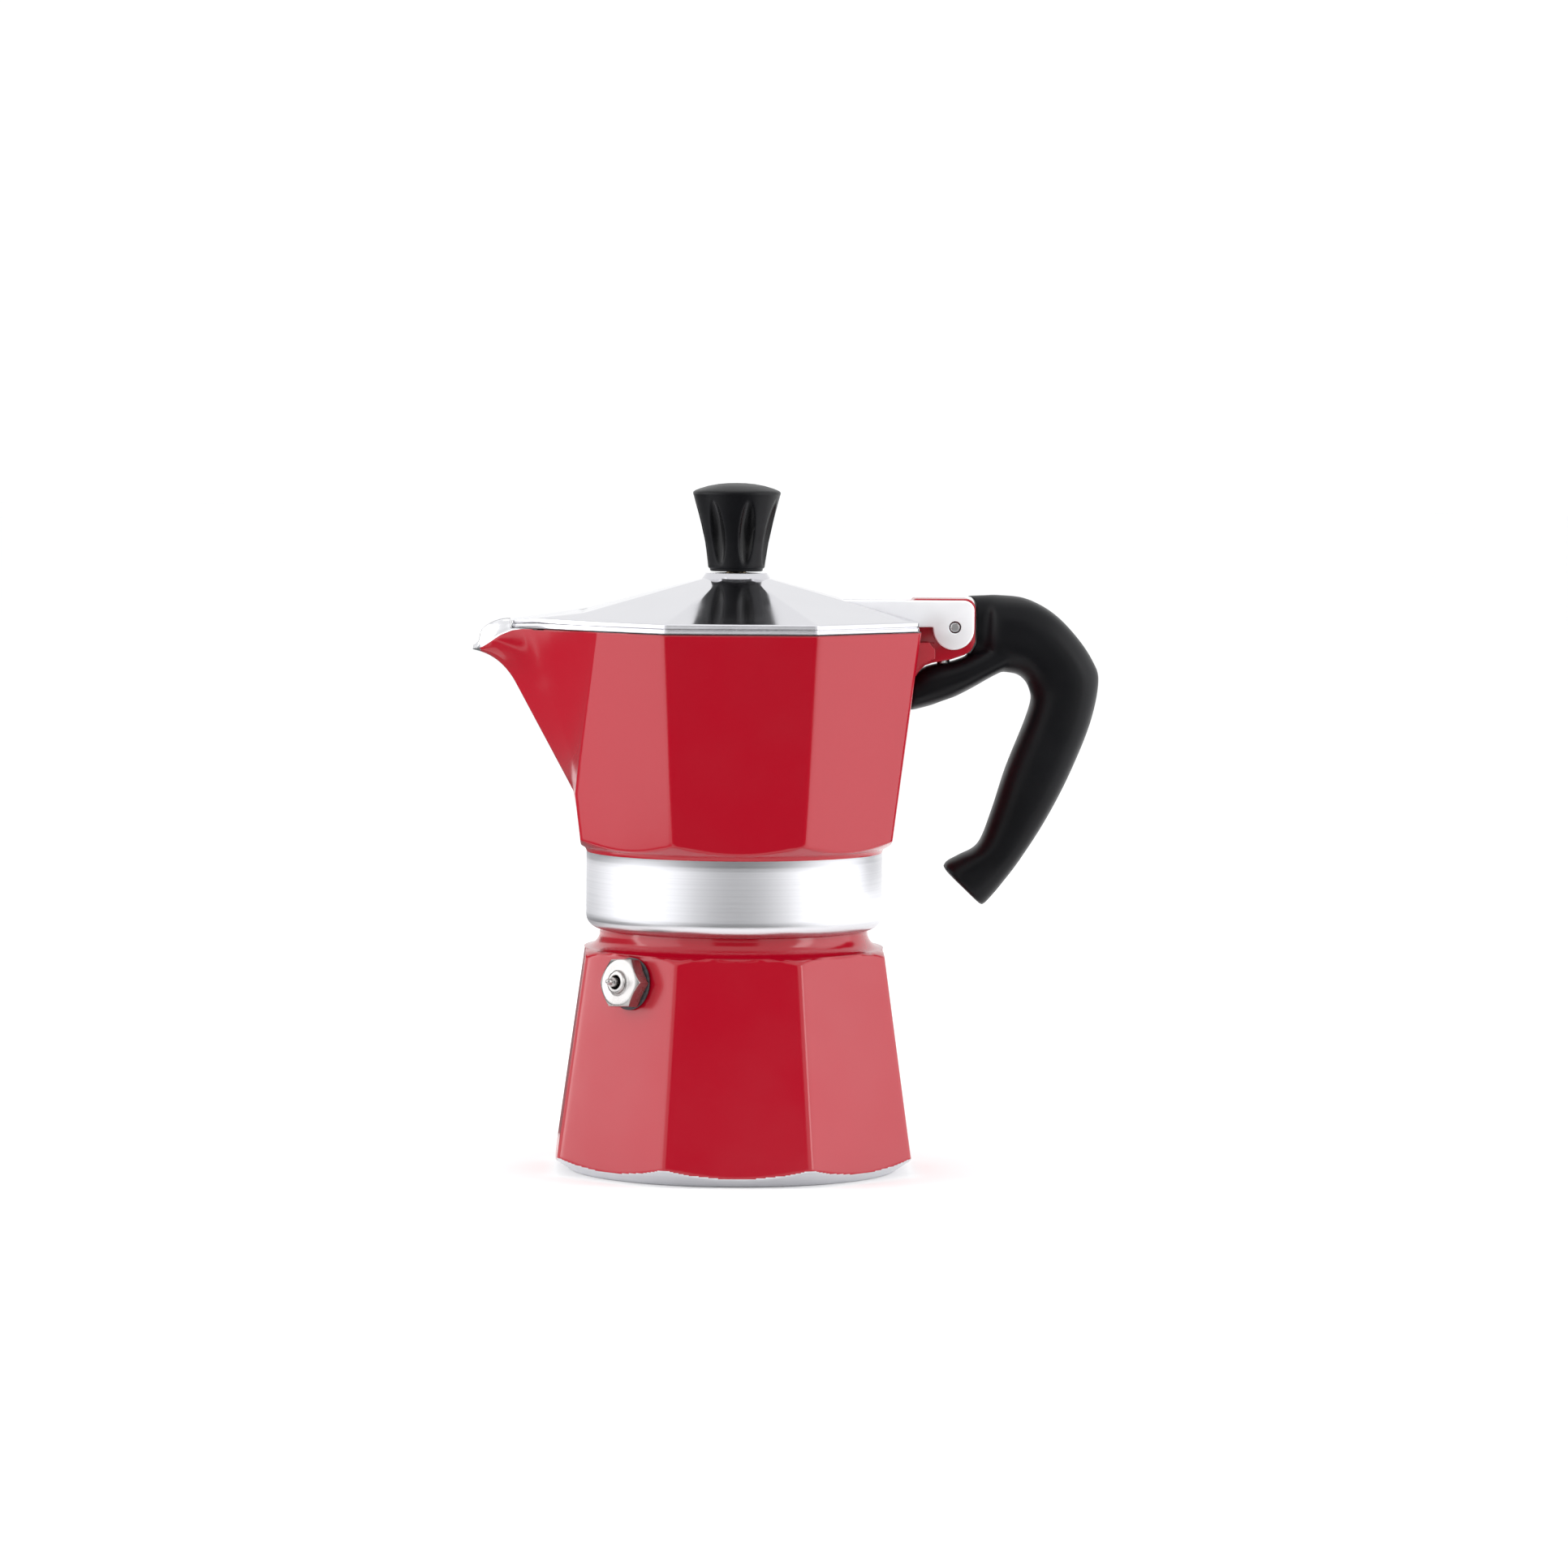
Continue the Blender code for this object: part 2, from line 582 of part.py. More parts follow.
def lip_bevel(side):
    """Slope the lip's top from the edge of the enamel up to the ridge beside the pouring slot."""
    sections = []
    for x, edge_z in LIP_EDGE:
        reach = math.sqrt(max(0.0, LIP_ARC_RADIUS ** 2 - (x - LIP_ARC_CENTRE[0]) ** 2))
        ridge_z = max(LIP_ARC_CENTRE[1] + reach, edge_z + 0.2)
        edge_y = max(spout_half_width(x), 1.2)
        ridge_y = min(POUR_SLOT_HALF_WIDTH + 0.4, edge_y * 0.7)
        far_y = edge_y + 1.0
        far_z = edge_z + max(-3.0, (edge_z - ridge_z) / (edge_y - ridge_y))
        ring = [(x, side * far_y, far_z), (x, side * 30.0, far_z), (x, side * 30.0, 140.0)]
        ring += [(x, side * ridge_y, 140.0), (x, side * ridge_y, ridge_z)]
        sections.append(ring if side > 0 else list(reversed(ring)))
    cutter = loft("lip_bevel", sections)
    bm = bmesh.new()
    bm.from_mesh(cutter.data)
    bmesh.ops.recalc_face_normals(bm, faces=bm.faces)
    bm.to_mesh(cutter.data)
    bm.free()
    return cutter


def bracket_outline(grow=0.0):
    """Side outline of the bracket; grown, it is the room that the handle leaves for it."""
    corner = 2.2
    corner_centre = (BRACKET_END_X - corner, BRACKET_TOP_Z - corner)
    outline = [(38.5, 126.0), (40.6, 126.0), (40.6, 132.3), (41.8, BRACKET_TOP_Z + grow)]
    outline += arc(corner_centre, corner + grow, 90.0, 0.0, 4)
    underside = [(BRACKET_END_X, 123.6), (54.3, 121.4), (49.8, 119.5), (45.5, 118.7), (43.2, 117.6)]
    underside += [(41.2, 114.6), (38.5, 112.0)]
    outline += [(x + grow * 0.6, z - grow) for x, z in underside[:1]]
    outline += [(x + grow * 0.5, z - grow) for x, z in underside[1:]]
    return outline


def bracket_pieces():
    half = BRACKET_HALF_WIDTH
    web = side_plate("bracket_web", bracket_outline(), -half, half)
    root = box("bracket_root", (38.7, -8.6, 113.0), (46.0, 8.6, 123.5))
    slope = side_plate("root_slope", [(38.0, 100.0), (50.0, 100.0), (50.0, 119.3), (45.4, 119.3),
                                      (42.9, 118.0), (41.0, 115.2), (38.0, 112.2)], -12.0, 12.0)
    cut(root, slope)
    for low, high in ((-12.0, -half), (half, 12.0)):
        cut(root, cross_cylinder("lobe_relief", 6.9, HINGE_X, HINGE_Z, low, high))
    return web, root


def build_column():
    bottom = POT_UNDERSIDE_Z + GAP
    bore = COLUMN_BORE_RADIUS
    shelf = POT_FLOOR_Z + GAP
    spigot = COLUMN_HOLE_RADIUS - GAP
    profile = [(bore, COLUMN_TOP_Z), (4.6, COLUMN_TOP_Z), (5.6, COLUMN_TOP_Z - 1.0), (6.1, 112.0)]
    profile += [(8.6, shelf + 2.0), (9.6, shelf)]
    profile += [(spigot, shelf), (spigot, bottom), (bore, bottom)]
    column = turned("coffee_column", profile, closed=True, segments=FINE_SEGMENTS)
    paint(column, ALUMINIUM)


# ---------------------------------------------------------------- lid

def lid_section(grow):
    """The lid's outline: six octagon corners, then the tongue over the spout."""
    radius = LID_CIRCUMRADIUS + grow / OCTAGON_APOTHEM
    corners = [polar(radius, angle) for angle in (-112.5, -67.5, -22.5, 22.5, 67.5, 112.5)]
    corner = polar(radius, 157.5)
    along = (polar(radius, 112.5) - corner).normalized()
    root = corner + along * (SPOUT_SPREAD - 0.4)
    nose_half = LID_TONGUE_HALF_WIDTH + grow
    nose_x = LID_TONGUE_X - grow
    nose = [Vector((nose_x, nose_half)), Vector((nose_x, -nose_half))]
    return corners + [root] + nose + [Vector((root.x, -root.y))]


def lid_solid(name, grow, drop):
    """The closed pyramid of the lid, grown sideways and lowered, so two of them make its shell."""
    outline = lid_section(grow)
    seat = LID_SEAT_RADIUS + grow
    seat_angles = (-112.5, -67.5, -22.5, 22.5, 67.5, 112.5, 157.5, 172.0, 188.0, 202.5)
    bottom = LID_SKIRT_BOTTOM_Z - drop * 4.0
    skirt = [(point.x, point.y, bottom) for point in outline]
    edge = []
    middle = []
    top = []
    for point, angle in zip(outline, seat_angles):
        edge_z = LID_TONGUE_Z if point.x < -50.0 + abs(grow) else LID_SKIRT_TOP_Z
        edge.append((point.x, point.y, edge_z - drop))
        upper = polar(seat, angle)
        top.append((upper.x, upper.y, LID_SEAT_Z - drop))
        if point.x < -45.0:
            middle.append((LID_KINK[0], point.y, LID_KINK[1] - drop))
        else:
            spot = point.lerp(upper, 0.3)
            middle.append((spot.x, spot.y, blend(LID_SKIRT_TOP_Z, LID_SEAT_Z, 0.3) - drop))
    return loft(name, [skirt, edge, middle, top])


def ear_outline():
    """Side outline of one rib with its hinge ear at the rear."""
    corner = 2.3
    top = 133.15
    end_x = 55.05
    lobe_centre = (50.3, 126.5)
    outline = [(23.5, top)]
    outline += arc((end_x - corner, top - corner), corner, 90.0, 0.0, 4)
    outline += arc(lobe_centre, end_x - lobe_centre[0], 0.0, -180.0, 12)
    outline += [(lobe_centre[0] - EAR_LOBE_RADIUS, 127.0), (41.2, 127.0), (41.2, 128.1)]
    return outline


def build_lid():
    lid = lid_solid("lid", 0.0, 0.0)
    cut(lid, lid_solid("lid_hollow", -LID_THICKNESS, LID_THICKNESS))
    cut(lid, box("hinge_notch", (38.7, -EAR_INNER_Y, 120.0), (60.0, EAR_INNER_Y, 140.0)))
    for side in (-1.0, 1.0):
        edges = sorted((side * EAR_INNER_Y, side * (EAR_INNER_Y + EAR_THICKNESS)))
        join(lid, side_plate("ear", ear_outline(), *edges))
    cut(lid, cross_cylinder("ear_hole", HINGE_PIN_RADIUS + GAP, HINGE_X, HINGE_Z, -15.0, 15.0, 24))
    cut(lid, cylinder("knob_hole", 1.9, 130.0, 145.0, 24))
    paint(lid, POLISHED)
    return lid


# ---------------------------------------------------------------- knob and its fixings

def build_knob():
    base = KNOB_BOTTOM_Z
    profile = [(0.0, KNOB_TOP_Z), (3.0, 159.85), (6.0, 159.4), (8.6, 158.6), (9.8, 158.0), (10.25, 157.4)]
    profile += [(9.6, 155.0), (8.9, 152.0), (8.2, 149.0), (7.5, 145.8), (6.9, 142.5), (6.55, base + 0.7)]
    profile += [(6.1, base + 0.5), (6.1, base), (0.0, base)]
    knob = turned("knob", profile, segments=42)
    for k in range(KNOB_FLUTES):
        cut(knob, knob_flute(360.0 * (k + 0.5) / KNOB_FLUTES - 100.0))
    cut(knob, cylinder("insert_hole", 3.0, base - 2.0, base + 9.5, 24))
    paint(knob, BAKELITE)
    insert = [(2.7, base + 9.0), (2.7, base + GAP), (1.8, base + GAP), (1.8, base + 9.0)]
    insert = turned("knob_insert", insert, closed=True, segments=24)
    paint(insert, BRASS)
    under = LID_SEAT_Z - LID_THICKNESS
    washer = [(4.0, under - GAP), (4.0, under - 0.9), (1.8, under - 0.9), (1.8, under - GAP)]
    washer = turned("knob_washer", washer, closed=True, segments=24)
    paint(washer, STEEL)
    head = under - 0.9 - GAP
    screw = [(0.0, base + 8.0), (1.5, base + 8.0), (1.5, head), (3.3, head), (3.3, head - 0.9)]
    screw += [(2.2, head - 2.0), (0.0, head - 2.2)]
    screw = turned("knob_screw", screw, segments=24)
    cut(screw, box("driver_slot", (-4.0, -0.4, head - 4.0), (4.0, 0.4, head - 1.2)))
    paint(screw, STEEL)
    return knob, insert, washer, screw


def knob_flute(angle_deg):
    """A long ellipsoid that grazes the knob's flaring side."""
    bm = bmesh.new()
    bmesh.ops.create_uvsphere(bm, u_segments=10, v_segments=6, radius=1.0)
    lean = math.atan2(10.25 - 6.55, 157.4 - 140.2)
    place = Matrix.Rotation(math.radians(angle_deg), 4, "Z")
    place = place @ Matrix.Translation((9.35 * MM, 0.0, 148.6 * MM)) @ Matrix.Rotation(lean, 4, "Y")
    place = place @ Matrix.Diagonal((2.4 * MM, 2.3 * MM, 8.0 * MM, 1.0))
    bmesh.ops.transform(bm, matrix=place, verts=bm.verts)
    return add_mesh_object("knob_flute", bm)


# ---------------------------------------------------------------- handle and hinge pin

def oval_sections(stations, points=16, fullness=2.6):
    """Rounded sections between two edge points in the XZ plane, each with its half width in Y."""
    sections = []
    for outer, inner, half_width in stations:
        centre = (Vector(outer) + Vector(inner)) / 2
        arm = Vector(outer) - centre
        ring = []
        for k in range(points):
            angle = TURN * k / points
            across = math.copysign(abs(math.cos(angle)) ** (2.0 / fullness), math.cos(angle))
            aside = math.copysign(abs(math.sin(angle)) ** (2.0 / fullness), math.sin(angle))
            spot = centre + arm * across
            ring.append((spot.x, half_width * aside, spot.y))
        sections.append(ring)
    return sections


def build_handle():
    """The grip runs from the bracket over the top and down; the arm runs back to the pot's wall."""
    wide = HANDLE_HALF_WIDTH
    narrow = BRACKET_HALF_WIDTH - GAP
    grip = [((53.6, 134.1), (53.6, 121.0), narrow), ((58.2, 134.4), (57.4, 119.0), narrow)]
    grip += [((61.0, 134.5), (59.4, 117.0), wide - 0.5), ((67.5, 133.8), (62.6, 116.4), wide)]
    grip += [((74.0, 130.4), (65.6, 115.9), wide), ((79.5, 124.8), (67.6, 114.3), wide)]
    grip += [((83.3, 119.2), (68.6, 112.2), wide), ((84.7, 114.3), (68.9, 109.8), wide)]
    grip += [((82.9, 104.5), (67.4, 104.6), wide), ((77.9, 92.2), (63.0, 94.0), wide - 0.4)]
    grip += [((72.4, 81.5), (60.0, 84.2), wide - 0.9), ((66.6, 72.4), (56.9, 76.4), wide - 1.2)]
    grip += [((62.8, 67.3), (52.6, 73.7), wide - 1.2), ((60.0, 63.9), (49.8, 72.2), wide - 1.2)]
    grip += [((58.3, 62.4), (49.1, 70.7), wide - 1.5), ((56.6, 63.3), (50.2, 69.3), wide - 3.0)]
    arm = [((41.2, 114.6), (40.4, 107.2), wide - 1.5), ((43.6, 117.2), (45.8, 108.6), wide - 1.2)]
    arm += [((46.5, 118.2), (50.3, 110.2), wide - 1.0), ((50.2, 118.8), (55.0, 112.6), wide - 0.8)]
    arm += [((54.8, 120.6), (59.5, 115.2), wide - 0.7), ((60.5, 124.0), (65.0, 118.0), wide - 0.8)]
    handle = loft("handle", oval_sections(grip))
    join(handle, loft("handle_arm", oval_sections(reversed(arm))))
    grown = side_plate("bracket_room", bracket_outline(GAP + 0.05), -12.0, 12.0)
    cut(handle, grown)
    for low, high in ((-12.0, -BRACKET_HALF_WIDTH), (BRACKET_HALF_WIDTH, 12.0)):
        cut(handle, cross_cylinder("ear_room", 7.1, HINGE_X, HINGE_Z, low, high))
    cut(handle, cylinder("screw_shaft", 1.5 + GAP, 100.0, 125.0, 16, x=HANDLE_SCREW_X))
    cut(handle, cylinder("screw_pocket", 3.4, 100.0, 112.6, 20, x=HANDLE_SCREW_X))
    paint(handle, BAKELITE)


def build_fasteners():
    """The hinge pin through the lid's ears and the screw that holds the handle up to the bracket."""
    reach = EAR_INNER_Y + EAR_THICKNESS
    pin = cross_cylinder("hinge_pin", HINGE_PIN_RADIUS, HINGE_X, HINGE_Z, -reach, reach, 20)
    paint(pin, STEEL)
    profile = [(0.0, 123.6), (1.1, 123.6), (1.5, 123.0), (1.5, 112.3), (3.0, 112.3), (3.0, 111.4)]
    profile += [(2.2, 110.6), (0.0, 110.6)]
    screw = turned("handle_screw", profile, segments=20)
    cut(screw, box("handle_screw_slot", (-4.0, -0.4, 108.0), (4.0, 0.4, 111.3)))
    screw.location.x = HANDLE_SCREW_X * MM
    paint(screw, STEEL)


WORK = None


def main():
    global WORK
    clear_scene()
    WORK = make_collection("moka_pot")
    paint(build_boiler(), ENAMEL)
    build_valve()
    build_funnel()
    build_seal()
    build_collector()
    build_column()
    lid_pieces = [build_lid(), *build_knob()]
    place = Matrix.Translation((HINGE_X * MM, 0.0, HINGE_Z * MM))
    for piece in lid_pieces:
        piece.data.transform(place.inverted())
    hang_on_axis("lid_axis", place, lid_pieces)
    build_handle()
    build_fasteners()
    for obj in WORK.objects:
        if obj.type == "MESH":
            smooth(obj)


main()
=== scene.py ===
"""Looks for the octagonal stovetop coffee maker: fine surfaces, materials, floor, light and camera.

Dimensions are in millimetres and are turned into metres as meshes are made. The frame is the
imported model's: z = 0 is the surface the pot stands on, -X is the spout's side, +X the handle's.
"""

import json
import math

import bmesh
import bpy
from mathutils import Matrix, Vector

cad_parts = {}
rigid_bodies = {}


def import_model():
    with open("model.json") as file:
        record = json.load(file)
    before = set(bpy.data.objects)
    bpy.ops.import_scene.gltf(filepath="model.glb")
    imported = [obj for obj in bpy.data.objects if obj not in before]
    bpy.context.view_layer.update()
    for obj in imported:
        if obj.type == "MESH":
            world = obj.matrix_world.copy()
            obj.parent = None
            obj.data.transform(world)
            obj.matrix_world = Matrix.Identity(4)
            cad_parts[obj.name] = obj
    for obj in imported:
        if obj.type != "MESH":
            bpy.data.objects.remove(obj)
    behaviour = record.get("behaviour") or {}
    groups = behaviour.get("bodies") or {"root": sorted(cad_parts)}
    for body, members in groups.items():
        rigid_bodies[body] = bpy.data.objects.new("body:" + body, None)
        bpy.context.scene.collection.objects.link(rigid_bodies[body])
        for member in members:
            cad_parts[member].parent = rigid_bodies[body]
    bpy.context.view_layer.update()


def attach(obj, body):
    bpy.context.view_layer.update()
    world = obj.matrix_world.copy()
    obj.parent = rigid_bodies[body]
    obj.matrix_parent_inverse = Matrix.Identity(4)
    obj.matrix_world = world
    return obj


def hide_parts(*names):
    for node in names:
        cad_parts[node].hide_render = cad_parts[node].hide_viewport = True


for leftover in list(bpy.data.objects):
    bpy.data.objects.remove(leftover, do_unlink=True)
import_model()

MM = 0.001
APOTHEM = math.cos(math.pi / 8)
SHARP_ANGLE_DEG = 38.0
FLAT_SIDED_ANGLE_DEG = 30.0
MISS = 99.0

# ---------------------------------------------------------------- dimensions shared with the solids

BOILER_FOOT = (44.5, 3.84)
BOILER_SHOULDER = (37.6, 50.3)
BOILER_ROUND_RADIUS = 36.0      # inside this radius the boiler is round and not octagonal
BOILER_CORNER_ROUNDING = 0.35
BOILER_THREAD_Z = (57.2, 67.2)
BOILER_THREAD_RADIUS = 30.8
BOILER_THREAD_DEPTH = 0.75
VALVE_Z = 45.3
VALVE_OFFSET = 1.5
VALVE_BORE_RADIUS = 4.05
VALVE_HEX_APOTHEM = 5.4
VALVE_HEX_TURN_DEG = 4.0
POT_FOOT = (39.25, 77.7)
POT_RIM = (45.8, 126.05)
POT_WALL = 3.1
POT_FLOOR_Z = 77.2
POT_CORNER_ROUNDING = 0.3
POT_THREAD_Z = (60.2, 68.8)
POT_THREAD_RADIUS = 31.45
POT_THREAD_HALF_DEPTH = 0.45
THREAD_PITCH = 3.0
THREAD_RUN_IN = 1.5
STEP_ROUNDING = 0.12
SPOUT_CORNER_DEG = 157.5
SPOUT_ROOT_Z = 87.4
SPOUT_SLOPE = 0.539
SPOUT_SPREAD = 13.8
SPOUT_TIP = (-61.7, 120.9)
SPOUT_BEND = (-55.2, 120.0)
SPOUT_FLARE_START_Z = 113.3
SPOUT_BOW = 1.8
WARP_START_DEG = 120.0
LIP_ARC_CENTRE = (-52.8, 119.2)
LIP_ARC_RADIUS = 8.95
LIP_FRONT_X = -59.3
LIP_BACK_X = -50.4
LIP_ROOT_X = -47.5
LIP_STEP_X = (-52.5, -44.0)
LIP_STEP_HALF_WIDTH = 12.0
LIP_HALF_WIDTH = 6.0
LIP_WIDENING = 2.2
LIP_ROUNDINGS = (0.08, 1.3)     # at the middle of the lip, and at its sides
LIP_EDGE = ((-63.0, 120.9), (-61.4, 120.9), (-59.2, 121.5), (-57.0, 123.0), (-54.7, 124.5), (-52.1, 125.6),
            (-49.8, 126.0), (-47.0, 126.05), (-20.0, 126.05))
POUR_SLOT_HALF_WIDTH = 2.2
POUR_SLOT_Z = 122.0
POUR_SLOT_CORNER = 1.6
ABOVE_POT_Z = 140.0
LID_CIRCUMRADIUS = 45.3
LID_SKIRT_BOTTOM_Z = 126.22
LID_SKIRT_TOP_Z = 128.3
LID_SLOPE = 0.278
LID_FACETS = (0, 1, 2, 3, 5, 6, 7)      # every eighth of a turn but the spout's
LID_TOP_Z = 139.1
LID_BOSS_RADIUS = 7.1
LID_TONGUE = (-36.0, 130.0, 0.13)
LID_TONGUE_NOSE = (-52.2, 5.0)
LID_THICKNESS = 1.35
BRACKET_HALF_WIDTH = 5.5
HINGE_X = 50.6
HINGE_Z = 127.0
EAR_INNER_Y = 5.9
EAR_THICKNESS = 2.5
KNOB_BOTTOM_Z = 139.5
KNOB_FLUTES = 7
HANDLE_HALF_WIDTH = 8.2
HANDLE_SCREW_X = 48.4
HANDLE_CLEARANCE = 0.35


# ---------------------------------------------------------------- small geometry helpers

def blend(low, high, t):
    return low + (high - low) * t


def clamp(value, low=0.0, high=1.0):
    return max(low, min(high, value))


def ease(t):
    t = clamp(t)
    return t * t * (3.0 - 2.0 * t)


def soft_min(values, width):
    """The least of some values, with the corners between them rounded over a width."""
    least = min(values)
    return least - width * math.log(sum(math.exp((least - value) / width) for value in values))


def interpolate(table, x):
    """Read a value from (x, value) pairs that run upwards in x."""
    for (x0, v0), (x1, v1) in zip(table, table[1:]):
        if x <= x1:
            return blend(v0, v1, clamp((x - x0) / (x1 - x0)))
    return table[-1][1]


def polar(radius, angle_deg):
    angle = math.radians(angle_deg)
    return Vector((radius * math.cos(angle), radius * math.sin(angle)))


def path(start, *legs):
    """Points along straight legs. A leg is its end (x, z), with a count where it takes several steps."""
    points = [start]
    for x, z, *steps in legs:
        from_x, from_z = points[-1]
        count = steps[0] if steps else 1
        for i in range(1, count + 1):
            points.append((blend(from_x, x, i / count), blend(from_z, z, i / count)))
    return points


def arc(centre, radius, start_deg, end_deg, steps):
    points = []
    for i in range(steps + 1):
        angle = math.radians(blend(start_deg, end_deg, i / steps))
        points.append((centre[0] + radius * math.cos(angle), centre[1] + radius * math.sin(angle)))
    return points


def directions(step, *dense):
    """Angles round the axis in degrees: even steps, and finer ones within (centre, half, step) windows."""
    angles = {round(i * step, 4) for i in range(int(round(360.0 / step)))}
    for centre, half, fine in dense:
        count = int(round(2 * half / fine))
        angles |= {round((centre - half + i * fine) % 360.0, 4) for i in range(count + 1)}
    ordered = sorted(angles)
    return [a for a, b in zip(ordered, ordered[1:] + [ordered[0] + 360.0]) if b - a > 0.03]


def soft_reach(planes, angle_deg, width):
    """Distance from the axis, in one direction, to planes that stand round it as (normal angle, distance)."""
    reach = []
    for plane_angle, distance in planes:
        cosine = math.cos(math.radians(angle_deg - plane_angle))
        if cosine > 0.3:
            reach.append(distance / cosine)
    return soft_min(reach, width) if reach else MISS


def line_at(low, high, z):
    """Radius at a height on the straight line through two (radius, z) points."""
    return low[0] + (high[0] - low[0]) * (z - low[1]) / (high[1] - low[1])


def thread_turn(angle_deg, z):
    """How far round the thread's turn a place is, in radians."""
    return 2.0 * math.pi * ((z / THREAD_PITCH - angle_deg / 360.0) % 1.0)


def add_object(name, bm):
    mesh = bpy.data.meshes.new(name)
    bm.to_mesh(mesh)
    bm.free()
    obj = bpy.data.objects.new(name, mesh)
    bpy.context.scene.collection.objects.link(obj)
    return obj


def smooth(obj, angle=SHARP_ANGLE_DEG):
    obj.data.shade_smooth()
    obj.data.set_sharp_from_angle(angle=math.radians(angle))
    return obj


def skin(name, rings, closed=False, finish_of=None, angle=SHARP_ANGLE_DEG):
    """Skin rings of points with quads. Rings that shrink to one point close the skin's ends."""
    bm = bmesh.new()
    verts = [[bm.verts.new(Vector(point) * MM) for point in ring] for ring in rings]
    count = len(verts[0])
    pairs = list(zip(range(len(verts)), range(1, len(verts))))
    if closed:
        pairs.append((len(verts) - 1, 0))
    for low, high in pairs:
        for i in range(count):
            j = (i + 1) % count
            face = bm.faces.new((verts[low][i], verts[low][j], verts[high][j], verts[high][i]))
            if finish_of:
                face.material_index = finish_of(low, i, face.calc_center_median() / MM)
    bmesh.ops.remove_doubles(bm, verts=bm.verts, dist=0.000001)
    bmesh.ops.recalc_face_normals(bm, faces=bm.faces)
    return smooth(add_object(name, bm), angle)


def turned(name, profile, segments=96, loop=True):
    """Turn a profile of (radius, z) points about Z. A loop's last point is joined to its first."""
    rings = []
    for radius, z in profile:
        rings.append([(*polar(radius, 360.0 * k / segments), z) for k in range(segments)])
    return skin(name, rings, loop)


def freeze(obj):
    """Turn an object's modifiers into its mesh."""
    depsgraph = bpy.context.evaluated_depsgraph_get()
    mesh = bpy.data.meshes.new_from_object(obj.evaluated_get(depsgraph))
    obj.modifiers.clear()
    obj.data = mesh


def combine(target, other, operation="DIFFERENCE"):
    """Cut one object with another, or join them, and remove the other."""
    modifier = target.modifiers.new(operation.lower(), "BOOLEAN")
    modifier.operation = operation
    modifier.object = other
    freeze(target)
    if not target.data.polygons:
        raise RuntimeError(f"cutting {target.name} with {other.name} left nothing")
    bpy.data.objects.remove(other, do_unlink=True)


def repaint(obj, material_index, low, high):
    """Give the faces whose centres lie in a box another of the object's materials."""
    for face in obj.data.polygons:
        if all(a < value < b for a, value, b in zip(low, face.center / MM, high)):
            face.material_index = material_index


def box(name, low, high):
    bm = bmesh.new()
    centre = [(a + b) * 0.5 * MM for a, b in zip(low, high)]
    size = [(b - a) * MM for a, b in zip(low, high)]
    bmesh.ops.create_cube(bm, size=1.0, matrix=Matrix.Translation(centre) @ Matrix.Diagonal((*size, 1.0)))
    return add_object(name, bm)


def rod(name, radius, low, high, segments=64):
    """A cylinder between two points."""
    bm = bmesh.new()
    start = Vector(low) * MM
    end = Vector(high) * MM
    turn = (end - start).to_track_quat("Z", "Y").to_matrix().to_4x4()
    bmesh.ops.create_cone(bm, cap_ends=True, segments=segments, radius1=radius * MM, radius2=radius * MM,
                          depth=(end - start).length, matrix=Matrix.Translation((start + end) / 2) @ turn)
    return add_object(name, bm)


def plate(name, outline, y_low, y_high, round_edge=0.0):
    """Extrude an outline of (x, z) points along Y and round its edges."""
    bm = bmesh.new()
    face = bm.faces.new([bm.verts.new((x * MM, y_low * MM, z * MM)) for x, z in outline])
    grown = bmesh.ops.extrude_face_region(bm, geom=[face])
    moved = [item for item in grown["geom"] if isinstance(item, bmesh.types.BMVert)]
    bmesh.ops.translate(bm, verts=moved, vec=(0.0, (y_high - y_low) * MM, 0.0))
    bmesh.ops.recalc_face_normals(bm, faces=bm.faces)
    obj = add_object(name, bm)
    if round_edge:
        bevel = obj.modifiers.new("round", "BEVEL")
        bevel.width = round_edge * MM
        bevel.segments = 3
        bevel.limit_method = "ANGLE"
        bevel.angle_limit = math.radians(28.0)
        freeze(obj)
        smooth(obj, FLAT_SIDED_ANGLE_DEG)
    return obj


# ---------------------------------------------------------------- materials

